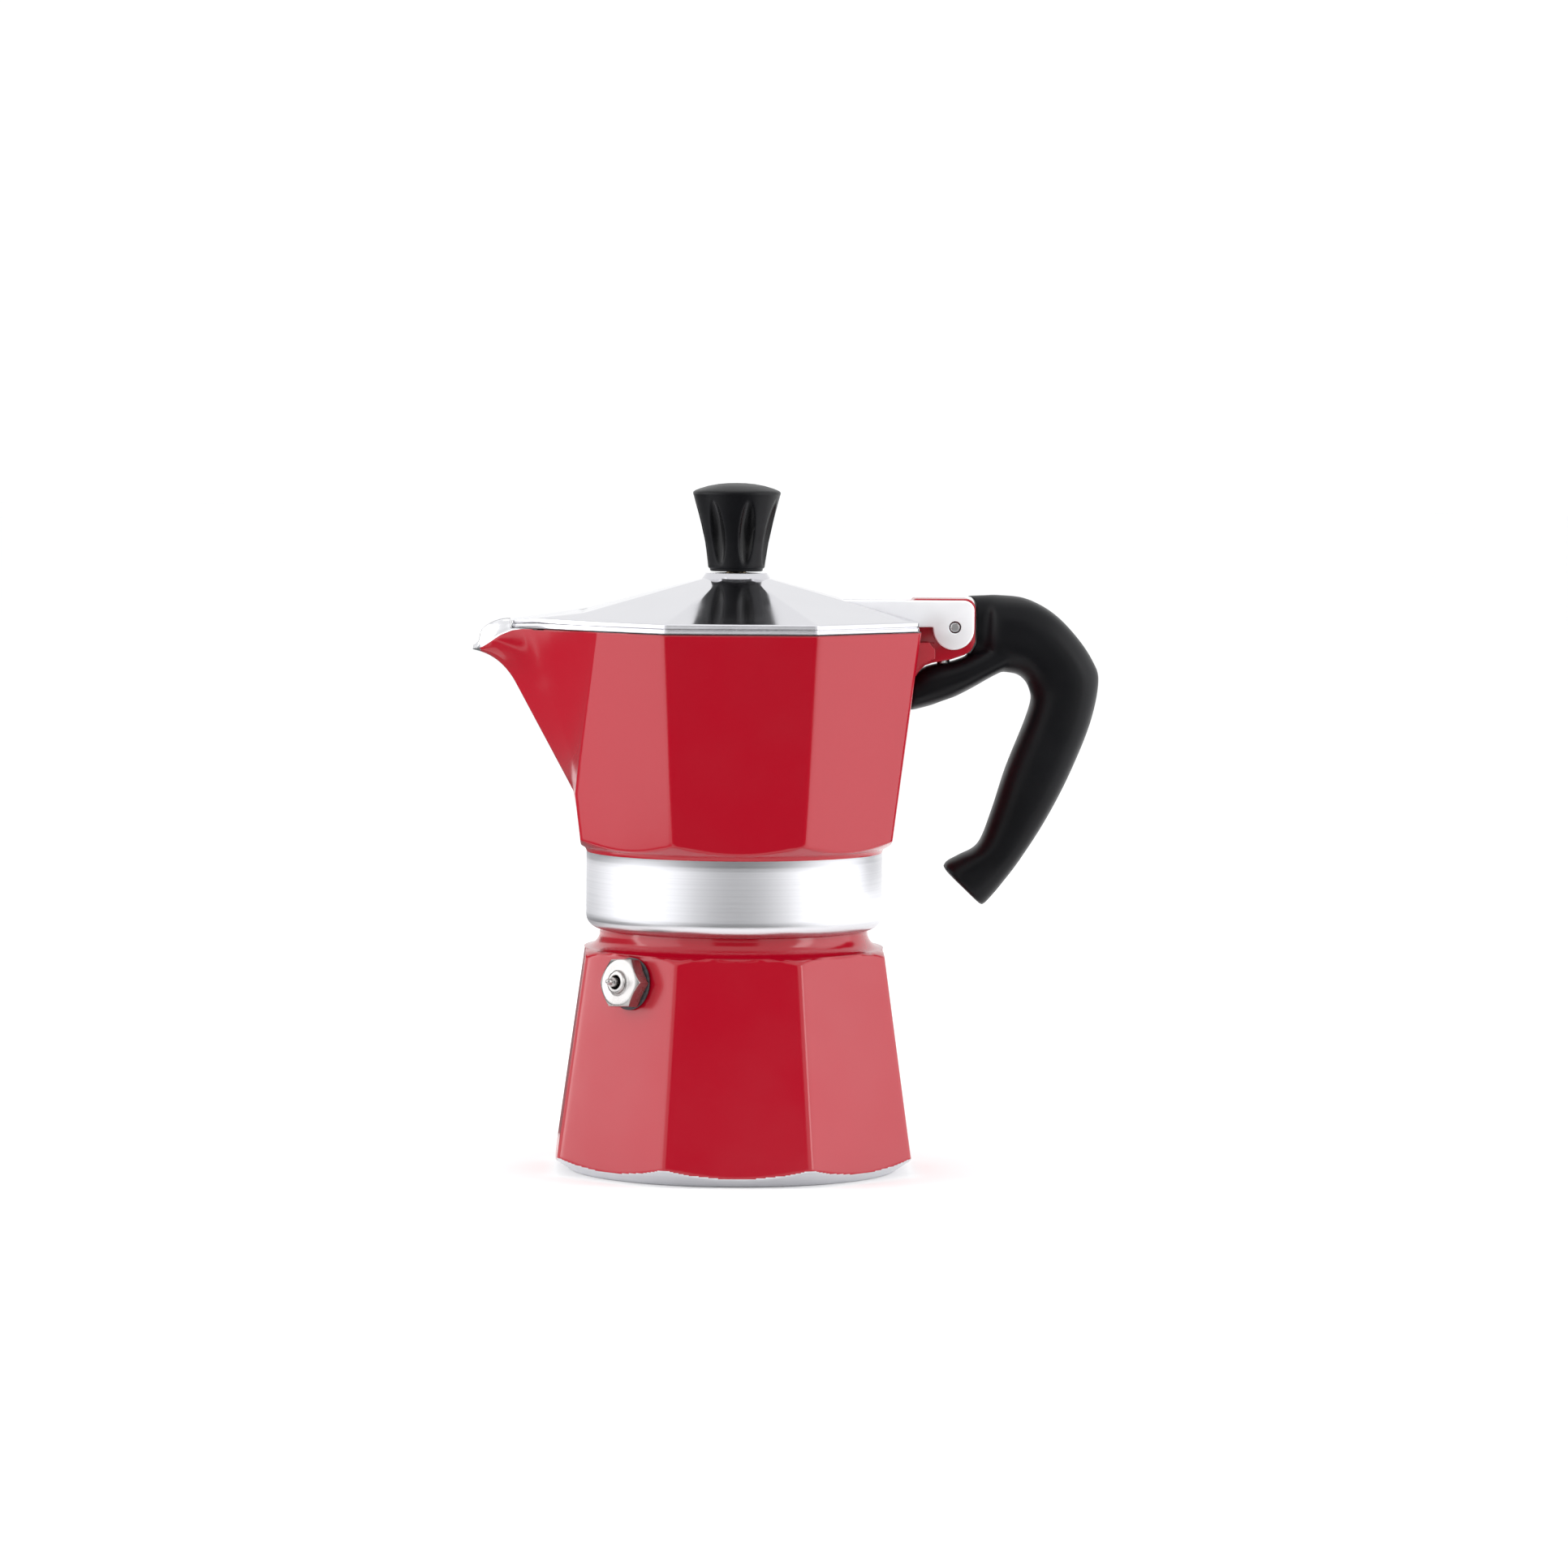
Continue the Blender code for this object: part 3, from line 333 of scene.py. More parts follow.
class Nodes:
    """A short way to make one procedural material."""

    NOISE_LOW = 0.3
    NOISE_HIGH = 0.7

    def __init__(self, name):
        self.material = bpy.data.materials.new(name)
        self.material.use_nodes = True
        self.tree = self.material.node_tree
        self.shader = self.tree.nodes["Principled BSDF"]
        self.place = self.tree.nodes.new("ShaderNodeTexCoord").outputs["Object"]
        self.normal = None

    def node(self, kind, **values):
        node = self.tree.nodes.new(kind)
        for key, value in values.items():
            setattr(node, key, value)
        return node

    def link(self, source, target):
        self.tree.links.new(source, target)

    def noise(self, scale, detail, stretch=(1.0, 1.0, 1.0)):
        mapping = self.node("ShaderNodeMapping")
        mapping.inputs["Scale"].default_value = stretch
        self.link(self.place, mapping.inputs["Vector"])
        noise = self.node("ShaderNodeTexNoise")
        noise.inputs["Scale"].default_value = scale
        noise.inputs["Detail"].default_value = detail
        self.link(mapping.outputs["Vector"], noise.inputs["Vector"])
        return noise.outputs["Fac"]

    def roughness(self, source, low, high):
        scale = self.node("ShaderNodeMapRange")
        scale.inputs["From Min"].default_value = self.NOISE_LOW
        scale.inputs["From Max"].default_value = self.NOISE_HIGH
        scale.inputs["To Min"].default_value = low
        scale.inputs["To Max"].default_value = high
        self.link(source, scale.inputs["Value"])
        self.link(scale.outputs["Result"], self.shader.inputs["Roughness"])

    def tint(self, source, low, high):
        ramp = self.node("ShaderNodeValToRGB")
        ramp.color_ramp.elements[0].position = self.NOISE_LOW
        ramp.color_ramp.elements[0].color = (*low, 1.0)
        ramp.color_ramp.elements[1].position = self.NOISE_HIGH
        ramp.color_ramp.elements[1].color = (*high, 1.0)
        self.link(source, ramp.inputs["Fac"])
        self.link(ramp.outputs["Color"], self.shader.inputs["Base Color"])

    def lines(self, distance, spacing_mm):
        """Fine uneven lines along a distance."""
        noise = self.node("ShaderNodeTexNoise", noise_dimensions="1D")
        noise.inputs["Scale"].default_value = 1.0 / (spacing_mm * MM)
        noise.inputs["Detail"].default_value = 2.0
        self.link(distance, noise.inputs["W"])
        return noise.outputs["Fac"]

    def rings(self, spacing_mm):
        """Fine lines round the axis, at uneven heights."""
        split = self.node("ShaderNodeSeparateXYZ")
        self.link(self.place, split.inputs["Vector"])
        return self.lines(split.outputs["Z"], spacing_mm)

    def radial_rings(self, spacing_mm):
        """Fine lines like rings() on a face that is square to the axis."""
        split = self.node("ShaderNodeSeparateXYZ")
        self.link(self.place, split.inputs["Vector"])
        flat = self.node("ShaderNodeCombineXYZ")
        self.link(split.outputs["X"], flat.inputs["X"])
        self.link(split.outputs["Y"], flat.inputs["Y"])
        length = self.node("ShaderNodeVectorMath", operation="LENGTH")
        self.link(flat.outputs["Vector"], length.inputs[0])
        return self.lines(length.outputs["Value"], spacing_mm)

    def round_edges(self, radius_mm):
        bevel = self.node("ShaderNodeBevel", samples=6)
        bevel.inputs["Radius"].default_value = radius_mm * MM
        self.normal = bevel.outputs["Normal"]

    def bump(self, source, height_mm):
        bump = self.node("ShaderNodeBump")
        bump.inputs["Strength"].default_value = 1.0
        bump.inputs["Distance"].default_value = height_mm * MM
        self.link(source, bump.inputs["Height"])
        if self.normal:
            self.link(self.normal, bump.inputs["Normal"])
        self.normal = bump.outputs["Normal"]

    def done(self, **values):
        for key, value in values.items():
            self.shader.inputs[key.replace("_", " ").title().replace("Ior", "IOR")].default_value = value
        if self.normal:
            self.link(self.normal, self.shader.inputs["Normal"])
        return self.material


def make_enamel():
    """Glossy crimson enamel on cast metal: a slight orange peel and a coat."""
    m = Nodes("enamel_crimson")
    m.tint(m.noise(9.0, 2.0), (0.325, 0.0012, 0.0105), (0.350, 0.0018, 0.0135))
    m.roughness(m.noise(60.0, 4.0), 0.13, 0.19)
    m.round_edges(0.45)
    m.bump(m.noise(420.0, 2.0), 0.006)
    m.bump(m.noise(45.0, 1.0), 0.03)
    return m.done(metallic=0.0, ior=1.55)


def make_turned_aluminium():
    """Bare aluminium off a lathe: fine rings round the pot."""
    m = Nodes("aluminium_turned")
    m.tint(m.rings(0.6), (0.70, 0.70, 0.725), (0.76, 0.76, 0.785))
    m.roughness(m.rings(0.35), 0.34, 0.42)
    round_axis = m.node("ShaderNodeTangent", direction_type="RADIAL", axis="Z")
    m.link(round_axis.outputs["Tangent"], m.shader.inputs["Tangent"])
    m.round_edges(0.3)
    m.bump(m.rings(0.45), 0.004)
    m.bump(m.noise(120.0, 3.0, (1.0, 1.0, 0.15)), 0.003)
    return m.done(metallic=1.0, anisotropic=0.75)


def make_polished_aluminium():
    """Buffed aluminium: almost a mirror, with a faint waviness and hairline scratches."""
    m = Nodes("aluminium_polished")
    m.tint(m.noise(30.0, 3.0), (0.63, 0.626, 0.655), (0.67, 0.665, 0.695))
    m.roughness(m.noise(90.0, 4.0), 0.09, 0.15)
    m.round_edges(0.25)
    m.bump(m.noise(28.0, 2.0), 0.02)
    m.bump(m.noise(900.0, 2.0, (1.0, 0.06, 0.3)), 0.0015)
    return m.done(metallic=1.0)


def make_satin_aluminium():
    """Linished aluminium of the hinge ribs: bright, with a broad soft shine."""
    m = Nodes("aluminium_satin")
    m.tint(m.noise(60.0, 3.0), (0.94, 0.94, 0.955), (0.97, 0.97, 0.98))
    m.roughness(m.noise(200.0, 4.0), 0.60, 0.70)
    m.round_edges(0.3)
    m.bump(m.noise(900.0, 2.0, (0.08, 1.0, 1.0)), 0.002)
    return m.done(metallic=1.0)


def make_cast_aluminium():
    """The unpainted inside: a dull casting skin with a fine grain."""
    m = Nodes("aluminium_cast")
    m.tint(m.noise(150.0, 5.0), (0.52, 0.525, 0.53), (0.66, 0.665, 0.67))
    m.roughness(m.noise(200.0, 4.0), 0.38, 0.55)
    m.round_edges(0.3)
    m.bump(m.noise(700.0, 4.0), 0.02)
    return m.done(metallic=1.0)


def make_lip_aluminium():
    """The ground lip of the spout: brushed lines that run along it."""
    m = Nodes("aluminium_ground")
    m.tint(m.noise(300.0, 3.0, (0.2, 1.0, 1.0)), (0.62, 0.62, 0.64), (0.80, 0.80, 0.82))
    m.roughness(m.noise(500.0, 2.0, (0.1, 1.0, 1.0)), 0.18, 0.3)
    m.round_edges(0.3)
    m.bump(m.noise(1400.0, 2.0, (0.06, 1.0, 1.0)), 0.004)
    return m.done(metallic=1.0)


def make_sheet_aluminium():
    """Spun and pressed sheet: rings on its flat faces."""
    m = Nodes("aluminium_sheet")
    m.tint(m.radial_rings(0.8), (0.68, 0.685, 0.69), (0.78, 0.785, 0.79))
    m.roughness(m.noise(120.0, 4.0), 0.25, 0.38)
    m.round_edges(0.15)
    m.bump(m.radial_rings(0.5), 0.008)
    m.bump(m.noise(350.0, 2.0), 0.006)
    return m.done(metallic=1.0)


def make_bakelite():
    """Moulded black phenolic with a satin skin."""
    m = Nodes("bakelite_black")
    m.tint(m.noise(60.0, 5.0), (0.0028, 0.0029, 0.0038), (0.0048, 0.0050, 0.0062))
    m.roughness(m.noise(140.0, 5.0), 0.33, 0.42)
    m.round_edges(0.5)
    m.bump(m.noise(900.0, 3.0), 0.006)
    m.bump(m.noise(80.0, 1.0), 0.02)
    return m.done(metallic=0.0, ior=1.25)


def make_flute_black_with_painted_shade():
    """The glossier hollows of the knob, tinted a darker black than the grip: painted shade in the flutes."""
    m = Nodes("bakelite_flute_painted_shade")
    m.tint(m.noise(60.0, 4.0), (0.0018, 0.0018, 0.0022), (0.0034, 0.0035, 0.0040))
    m.roughness(m.noise(160.0, 4.0), 0.22, 0.3)
    m.bump(m.noise(500.0, 2.0), 0.005)
    return m.done(metallic=0.0, ior=1.32)


def make_nickel():
    """Nickel-plated brass, turned and milled."""
    m = Nodes("nickel_plated")
    m.tint(m.noise(160.0, 4.0), (0.40, 0.385, 0.375), (0.48, 0.465, 0.455))
    m.roughness(m.noise(240.0, 4.0), 0.22, 0.32)
    m.round_edges(0.2)
    m.bump(m.noise(900.0, 2.0, (1.0, 1.0, 0.3)), 0.004)
    return m.done(metallic=1.0)


def make_steel():
    """Bright steel of the pin, the screws and the spring."""
    m = Nodes("steel_bright")
    m.tint(m.noise(200.0, 4.0), (0.50, 0.50, 0.50), (0.62, 0.615, 0.61))
    m.roughness(m.noise(260.0, 4.0), 0.2, 0.34)
    m.round_edges(0.12)
    m.bump(m.noise(1500.0, 2.0), 0.003)
    return m.done(metallic=1.0)


def make_brass():
    """Bare brass off a lathe."""
    m = Nodes("brass_turned")
    m.tint(m.noise(180.0, 4.0), (0.62, 0.42, 0.16), (0.75, 0.54, 0.24))
    m.roughness(m.rings(0.3), 0.2, 0.35)
    m.bump(m.rings(0.3), 0.006)
    return m.done(metallic=1.0)


def make_rubber():
    """Pale silicone rubber of the gasket and the valve's disc."""
    m = Nodes("silicone_pale")
    m.tint(m.noise(90.0, 5.0), (0.70, 0.68, 0.61), (0.80, 0.785, 0.73))
    m.roughness(m.noise(260.0, 4.0), 0.5, 0.66)
    m.round_edges(0.3)
    m.bump(m.noise(700.0, 4.0), 0.02)
    return m.done(metallic=0.0, ior=1.42)


def make_fibre():
    """Dark pressed fibre of the washer under the valve."""
    m = Nodes("fibre_dark")
    m.tint(m.noise(600.0, 6.0, (1.0, 1.0, 4.0)), (0.028, 0.028, 0.032), (0.07, 0.07, 0.075))
    m.roughness(m.noise(500.0, 4.0), 0.6, 0.8)
    m.bump(m.noise(1200.0, 4.0), 0.02)
    return m.done(metallic=0.0)


ENAMEL = make_enamel()
TURNED = make_turned_aluminium()
POLISHED = make_polished_aluminium()
SATIN = make_satin_aluminium()
CAST = make_cast_aluminium()
LIP = make_lip_aluminium()
SHEET = make_sheet_aluminium()
BAKELITE = make_bakelite()
# the flute material's darker black is painted shade in the knob's hollows
FLUTE = make_flute_black_with_painted_shade()
NICKEL = make_nickel()
STEEL = make_steel()
BRASS = make_brass()
RUBBER = make_rubber()
FIBRE = make_fibre()


def place(obj, body, slot, materials, *nodes):
    """Give a piece its body and its materials, and hide the solids it stands for. The slot argument is not
    used.
    """
    for material in materials:
        obj.data.materials.append(material)
    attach(obj, body)
    if nodes:
        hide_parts(*nodes)


# ---------------------------------------------------------------- boiler

CORNERS = [(22.5 + 45.0 * k, 2.4, 0.4) for k in range(8)]


def octagon_radius(circumradius, angle_deg):
    """Distance from the axis to the boiler's rounded octagon in one direction."""
    planes = [(45.0 * k, circumradius * APOTHEM) for k in range(8)]
    return soft_reach(planes, angle_deg, BOILER_CORNER_ROUNDING)


def build_boiler():
    degrees = directions(1.5, *CORNERS)
    bare_base, painted, thread, rim, inside = range(5)
    foot = path((0.0, 0.35), (34.5, 0.35, 6), (35.2, 0.0, 2), (38.0, 0.0, 2), (38.4, 0.2), (47.2, 6.0, 26),
                (52.0, 9.0, 3))
    wall = path((52.0, 12.0), (52.0, 44.0, 14), (52.0, 46.0, 4), (40.0, 48.6, 20), (37.7, 50.4, 8),
                (36.3, 51.4, 3))
    wall += reversed(arc((34.9, 55.6), 3.7, 180.0, 270.0, 10))
    wall += [(31.2, 56.6)]
    low_z, high_z = BOILER_THREAD_Z
    screwed = [(30.9, 57.0)] + path((BOILER_THREAD_RADIUS, low_z), (BOILER_THREAD_RADIUS, high_z, 44))
    mouth = [(30.4, 67.7), (30.0, 68.0), (27.1, 68.0), (26.6, 67.5)]
    tank = path((26.6, 58.0), (28.4, 53.0, 4), (30.8, 47.5, 4), (36.4, 8.5, 8), (34.8, 5.2, 3),
                (33.0, 4.5, 2), (0.0, 4.5, 5))
    zones = ((bare_base, foot), (painted, wall), (thread, screwed), (rim, mouth), (inside, tank))
    rows = [(radius, z, zone) for zone, profile in zones for radius, z in profile]
    rings = []
    for radius, z, zone in rows:
        ring = []
        for angle in degrees:
            r = radius
            if zone in (bare_base, painted) and radius > BOILER_ROUND_RADIUS:
                outer = line_at(BOILER_FOOT, BOILER_SHOULDER, z)
                r = soft_min([radius, octagon_radius(outer, angle)], STEP_ROUNDING)
            if zone == thread:
                fade = ease((z - low_z) / THREAD_RUN_IN) * ease(high_z - z)
                r = radius - BOILER_THREAD_DEPTH * fade * (0.5 - 0.5 * math.cos(thread_turn(angle, z)))
            ring.append((*polar(r, angle), z))
        rings.append(ring)

    def finish_of(row, column, centre):
        zone = rows[row + 1][2]
        if zone == bare_base:
            facet = line_at(BOILER_FOOT, BOILER_SHOULDER, centre.z)
            outer = octagon_radius(facet, math.degrees(math.atan2(centre.y, centre.x)))
            return 1 if rows[row + 1][0] < outer + 0.25 else 0
        return {painted: 0, thread: 1, rim: 1, inside: 2}[zone]

    boiler = skin("boiler_body", rings, False, finish_of)
    bore = rod("valve_bore", VALVE_BORE_RADIUS, (0.0, 0.0, -12.0), (0.0, 0.0, 12.0))
    bore.data.transform(valve_matrix())
    combine(boiler, bore)
    smooth(boiler)
    place(boiler, "base", "enamel", [ENAMEL, TURNED, CAST], "boiler")


# ---------------------------------------------------------------- upper pot

def on_side_facet(circumradius, distance):
    """A point on the octagon's side beside the spout, a distance along it from the spout's corner."""
    corner = polar(circumradius, SPOUT_CORNER_DEG)
    along = (polar(circumradius, SPOUT_CORNER_DEG - 45.0) - corner).normalized()
    return corner + along * distance


def spout_side(root, nose):
    """The upright plane through two points, as the angle of its normal and its distance from the axis."""
    run = root - nose
    normal = Vector((-run.y, run.x)).normalized()
    return math.degrees(math.atan2(normal.y, normal.x)), normal.dot(root)


def spout_lines(z):
    """At a height: the octagon's size, the spout's side as (normal angle, distance), its ridge and crease."""
    circumradius = line_at(POT_FOOT, POT_RIM, z)
    reach = max(0.0, (z - SPOUT_ROOT_Z) / (POT_RIM[1] - SPOUT_ROOT_Z)) * SPOUT_SPREAD
    root = on_side_facet(circumradius, reach)
    ridge_x = -circumradius * APOTHEM
    if z > SPOUT_ROOT_Z:
        start = -line_at(POT_FOOT, POT_RIM, SPOUT_ROOT_Z) * APOTHEM
        ridge_x = start - SPOUT_SLOPE * (z - SPOUT_ROOT_Z)
    crease_angle = math.degrees(math.atan2(root.y, root.x))
    return circumradius, spout_side(root, Vector((ridge_x, 0.0))), ridge_x, crease_angle


def flare(z, ridge_x, rounding):
    """How far the lip stands out past the straight ridge at a height. Its lower edge is rounded."""
    if z <= SPOUT_FLARE_START_Z:
        return 0.0
    start_x = spout_lines(SPOUT_FLARE_START_Z)[2]
    a = SPOUT_FLARE_START_Z - 2 * SPOUT_BEND[1] + SPOUT_TIP[1]
    b = 2 * (SPOUT_BEND[1] - SPOUT_FLARE_START_Z)
    c = SPOUT_FLARE_START_Z - soft_min([z, SPOUT_TIP[1]], rounding)
    t = (-b + math.sqrt(max(0.0, b * b - 4 * a * c))) / (2 * a)
    x = (1 - t) ** 2 * start_x + 2 * t * (1 - t) * SPOUT_BEND[0] + t * t * SPOUT_TIP[0]
    return x - ridge_x


POT_CACHE = {}


def off_handle(angle_deg):
    """How far a direction is turned from the handle's, either way round: 0 to 180 degrees."""
    return abs((angle_deg + 180.0) % 360.0 - 180.0)


def follow_crease(angle_deg, crease_angle):
    """Turn a column's direction so that the column at the pot's corner runs up the spout's crease."""
    off = off_handle(angle_deg)
    if off <= WARP_START_DEG:
        return angle_deg
    if off < SPOUT_CORNER_DEG:
        share = (off - WARP_START_DEG) / (SPOUT_CORNER_DEG - WARP_START_DEG)
        off = blend(WARP_START_DEG, crease_angle, share)
    else:
        off = blend(crease_angle, 180.0, (off - SPOUT_CORNER_DEG) / (180.0 - SPOUT_CORNER_DEG))
    return off if angle_deg % 360.0 <= 180.0 else -off


def pot_point(angle_deg, z, offset=0.0, flared=True, limit=None):
    """A point on the pot's wall, or on its inner wall when the planes are moved in by an offset."""
    key = (round(z, 4), offset)
    if key not in POT_CACHE:
        circumradius, (side_angle, distance), ridge_x, crease_angle = spout_lines(z)
        facets = [(45.0 * k, circumradius * APOTHEM - offset) for k in range(8) if k != 4]
        sides = [(side_angle, distance - offset), (-side_angle, distance - offset)]
        flares = [flare(z, ridge_x, rounding) for rounding in LIP_ROUNDINGS]
        POT_CACHE[key] = (facets, sides, flares, crease_angle)
    facets, sides, flares, crease_angle = POT_CACHE[key]
    if not offset:
        angle_deg = follow_crease(angle_deg, crease_angle)
    height = clamp((z - SPOUT_ROOT_Z) / (POT_RIM[1] - SPOUT_ROOT_Z))
    radius = soft_reach(facets, angle_deg, POT_CORNER_ROUNDING)
    spout = soft_reach(sides, angle_deg, POT_CORNER_ROUNDING)
    if spout < MISS:
        radius = soft_min([radius, spout], blend(POT_CORNER_ROUNDING, 0.02, clamp(height * 6.0)))
    across = clamp((off_handle(angle_deg) - crease_angle) / (180.0 - crease_angle))
    radius -= SPOUT_BOW * 4.0 * across * (1.0 - across) * soft_min([1.0, height * 1.4], 0.1)
    if limit is not None:
        radius = soft_min([radius, limit], STEP_ROUNDING)
    spot = polar(radius, angle_deg)
    if flared and flares[0] and spot.x < -20.0:
        aside = abs(spot.y)
        stand_out = blend(*flares, clamp(aside / 3.0))
        share = math.exp(-(aside / LIP_HALF_WIDTH) ** 4)
        widen = LIP_WIDENING * share * min(1.0, -stand_out / 6.0) * min(1.0, aside / 1.2)
        spot = Vector((spot.x + stand_out * share, spot.y + math.copysign(widen, spot.y)))
    return spot


def lip_top(x):
    """Height of the unbevelled rim: level, then the rounded top of the spout's lip."""
    if x > LIP_BACK_X + 0.05:
        return POT_RIM[1]
    return LIP_ARC_CENTRE[1] + math.sqrt(max(0.0, LIP_ARC_RADIUS ** 2 - (x - LIP_ARC_CENTRE[0]) ** 2))


def wall_edge(angle_deg):
    """The upper end of the enamel on the wall in one direction, as a point."""
    spot = pot_point(angle_deg, 125.0)
    z = POT_RIM[1]
    for _ in range(3):
        z = interpolate(LIP_EDGE, spot.x)
        spot = pot_point(angle_deg, z)
    return Vector((spot.x, spot.y, z))


def rim_point(edge, inside, share):
    """A point on the bare rim, a share of the way from the enamel's edge to the inner wall."""
    start = Vector((edge.x, edge.y))
    spot = start.lerp(inside, share)
    run = (spot - start).length
    if edge.x < LIP_ROOT_X:
        top = max(lip_top(spot.x), edge.z + 0.2)
        slope = (top - edge.z) / max(0.5, min(abs(edge.y), 6.9) - 2.4)
        top = soft_min([top, edge.z + 0.25 + run * slope], 0.15)
    else:
        top = POT_RIM[1] - max(0.0, 0.35 - run) * 0.9
    return spot.x, spot.y, top


def build_collector():
    fine = [(SPOUT_CORNER_DEG, 2.4, 0.8), (360.0 - SPOUT_CORNER_DEG, 2.4, 0.8), (180.0, 9.6, 0.25)]
    degrees = directions(2.0, *CORNERS[:3], *CORNERS[5:], *fine)
    collar_bare, painted, band, inner = range(4)
    rings = []
    zones = []

    def add(ring, zone):
        rings.append(ring)
        zones.append(zone)

    outer = path((31.5, 60.0), (31.5, 57.0, 2), (31.9, 56.4, 2))
    outer += arc((31.3, 59.5), 3.2, -78.0, 0.0, 8)
    outer += path((34.5, 60.5), (34.5, 74.2, 5))
    for radius, z in outer:
        add([(*polar(radius, angle), z) for angle in degrees], collar_bare)
    foot = path((34.62, 74.6), (34.9, 75.1, 2), (35.9, 75.65, 4), (39.25, 77.7, 16), (45.2, 81.4, 6))
    for radius, z in foot:
        add([(*pot_point(angle, z, limit=radius), z) for angle in degrees], painted)
    low_z = foot[-1][1] + 1.2
    edges = [wall_edge(angle) for angle in degrees]
    shares = [0.0, 0.13, 0.3, 0.46, 0.6, 0.68]
    shares += [0.68 + 0.32 * (i / 26) for i in range(1, 27)]
    for share in shares:
        heights = [blend(low_z, edge.z, share) for edge in edges]
        add([(*pot_point(angle, z), z) for angle, z in zip(degrees, heights)], painted)
    inner_edges = [pot_point(angle, POT_RIM[1], POT_WALL, False) for angle in degrees]
    for share in (0.02, 0.06, 0.12, 0.2, 0.28, 0.36, 0.45, 0.55, 0.65, 0.75, 0.85, 0.93, 0.98, 1.0):
        add([rim_point(edge, inside, share) for edge, inside in zip(edges, inner_edges)], band)
    for z in (125.0, 123.4, 122.2, 121.0, 119.0, 115.0, 108.0, 100.0, 92.0, 86.0, 83.6):
        add([(*pot_point(angle, z, POT_WALL, False), z) for angle in degrees], inner)
    for radius, z in path((38.0, 82.5), (34.4, 79.0, 4), (32.0, 77.6, 3), (29.0, POT_FLOOR_Z, 2)):
        add([(*pot_point(angle, z, POT_WALL, False, limit=radius), z) for angle in degrees], inner)
    under = path((9.0, POT_FLOOR_Z), (5.0, POT_FLOOR_Z), (5.0, 73.1, 2), (28.6, 73.1, 3), (29.1, 72.8),
                 (29.1, 69.2, 2), (31.2, 69.2))
    for radius, z in under:
        add([(*polar(radius, angle), z) for angle in degrees], inner)
    bottom_z, top_z = POT_THREAD_Z
    for _, z in path((0.0, top_z), (0.0, bottom_z, 38)):
        depth = POT_THREAD_HALF_DEPTH * ease((z - bottom_z) / THREAD_RUN_IN)
        radii = [POT_THREAD_RADIUS + depth * math.cos(thread_turn(angle, z)) for angle in degrees]
        add([(*polar(radius, angle), z) for angle, radius in zip(degrees, radii)], inner)

    def finish_of(row, column, centre):
        zone = zones[(row + 1) % len(zones)]
        if zone == painted:
            return 2 if centre.x < LIP_FRONT_X else 0
        return {collar_bare: 1, band: 2, inner: 3}[zone]

    pot = skin("collector_body", rings, True, finish_of)
    half = POUR_SLOT_HALF_WIDTH
    centre_z = POUR_SLOT_Z + POUR_SLOT_CORNER
    groove = [(-half, ABOVE_POT_Z), (-half, centre_z)]
    groove += arc((-half + POUR_SLOT_CORNER, centre_z), POUR_SLOT_CORNER, 180.0, 270.0, 6)[1:]
    groove += arc((half - POUR_SLOT_CORNER, centre_z), POUR_SLOT_CORNER, 270.0, 360.0, 6)[:-1]
    groove += [(half, centre_z), (half, ABOVE_POT_Z)]
    slot = plate("pour_slot", groove, 47.0, 72.0)
    slot.data.transform(Matrix.Rotation(math.pi / 2, 4, "Z"))
    combine(pot, slot)
    repaint(pot, 2, (-72.0, -half - 0.05, POUR_SLOT_Z - 0.05), (-47.0, half + 0.05, ABOVE_POT_Z))
    start_x, end_x = LIP_STEP_X
    aside = LIP_STEP_HALF_WIDTH
    combine(pot, box("lip_step", (start_x, -aside, POT_RIM[1] + 0.015), (end_x, aside, 132.0)))
    repaint(pot, 2, (start_x - 0.05, -aside - 0.1, POT_RIM[1]), (end_x + 0.1, aside + 0.1, ABOVE_POT_Z))
    smooth(pot)
    place(pot, "pot", "enamel", [ENAMEL, TURNED, LIP, CAST], "collector")
    build_bracket()


def bracket_outline():
    """Side outline of the enamelled bracket that carries the hinge and the handle."""
    corner = 2.2
    centre = (55.5 - corner, 133.5 - corner)
    outline = [(40.1, 126.0), (40.6, 126.0), (40.6, 132.6), (41.5, 133.5)]
    outline += arc(centre, corner, 90.0, 0.0, 10)
    outline += [(55.5, 123.6), (54.9, 122.2), (54.3, 121.3), (53.0, 120.5), (49.8, 119.4), (45.5, 118.6)]
    outline += [(43.9, 118.0), (42.6, 116.8), (41.2, 114.6), (39.0, 112.0)]
    return outline


def build_bracket():
    web = plate("bracket_web", bracket_outline(), -BRACKET_HALF_WIDTH, BRACKET_HALF_WIDTH, 0.45)
    place(web, "pot", "enamel", [ENAMEL])
    root_outline = [(39.2, 113.2), (41.0, 115.4), (42.9, 118.2), (45.4, 119.5), (46.0, 119.6), (46.0, 123.4)]
    root_outline += [(40.0, 123.4)]
    for side in (-1.0, 1.0):
        low, high = sorted((side * 5.0, side * 8.6))
        root = plate("bracket_root_near" if side < 0 else "bracket_root_far", root_outline, low, high)
        lobe = rod("lobe_relief", 6.9, (HINGE_X, side * 5.55, HINGE_Z), (HINGE_X, side * 12.0, HINGE_Z), 96)
        combine(root, lobe)
        smooth(root, FLAT_SIDED_ANGLE_DEG)
        place(root, "pot", "enamel", [ENAMEL])


def build_column():
    profile = path((3.2, 118.6), (3.6, 119.0), (4.6, 119.0), (5.4, 118.6, 2), (5.7, 117.8, 2),
                   (6.1, 112.0, 3), (8.4, 80.6, 6), (8.7, 79.2, 2), (9.1, 78.2, 2), (9.6, 77.5, 2),
                   (4.7, 77.4), (4.7, 73.4), (3.2, 73.4))
    column = turned("coffee_column_tube", profile)
    outlet_z = 116.6
    for end_x in (6.5, -6.5):
        combine(column, rod("outlet", 1.5, (end_x, 0.0, outlet_z), (0.0, 0.0, outlet_z), 32))
    smooth(column)
    place(column, "pot", "aluminium", [CAST], "coffee_column")


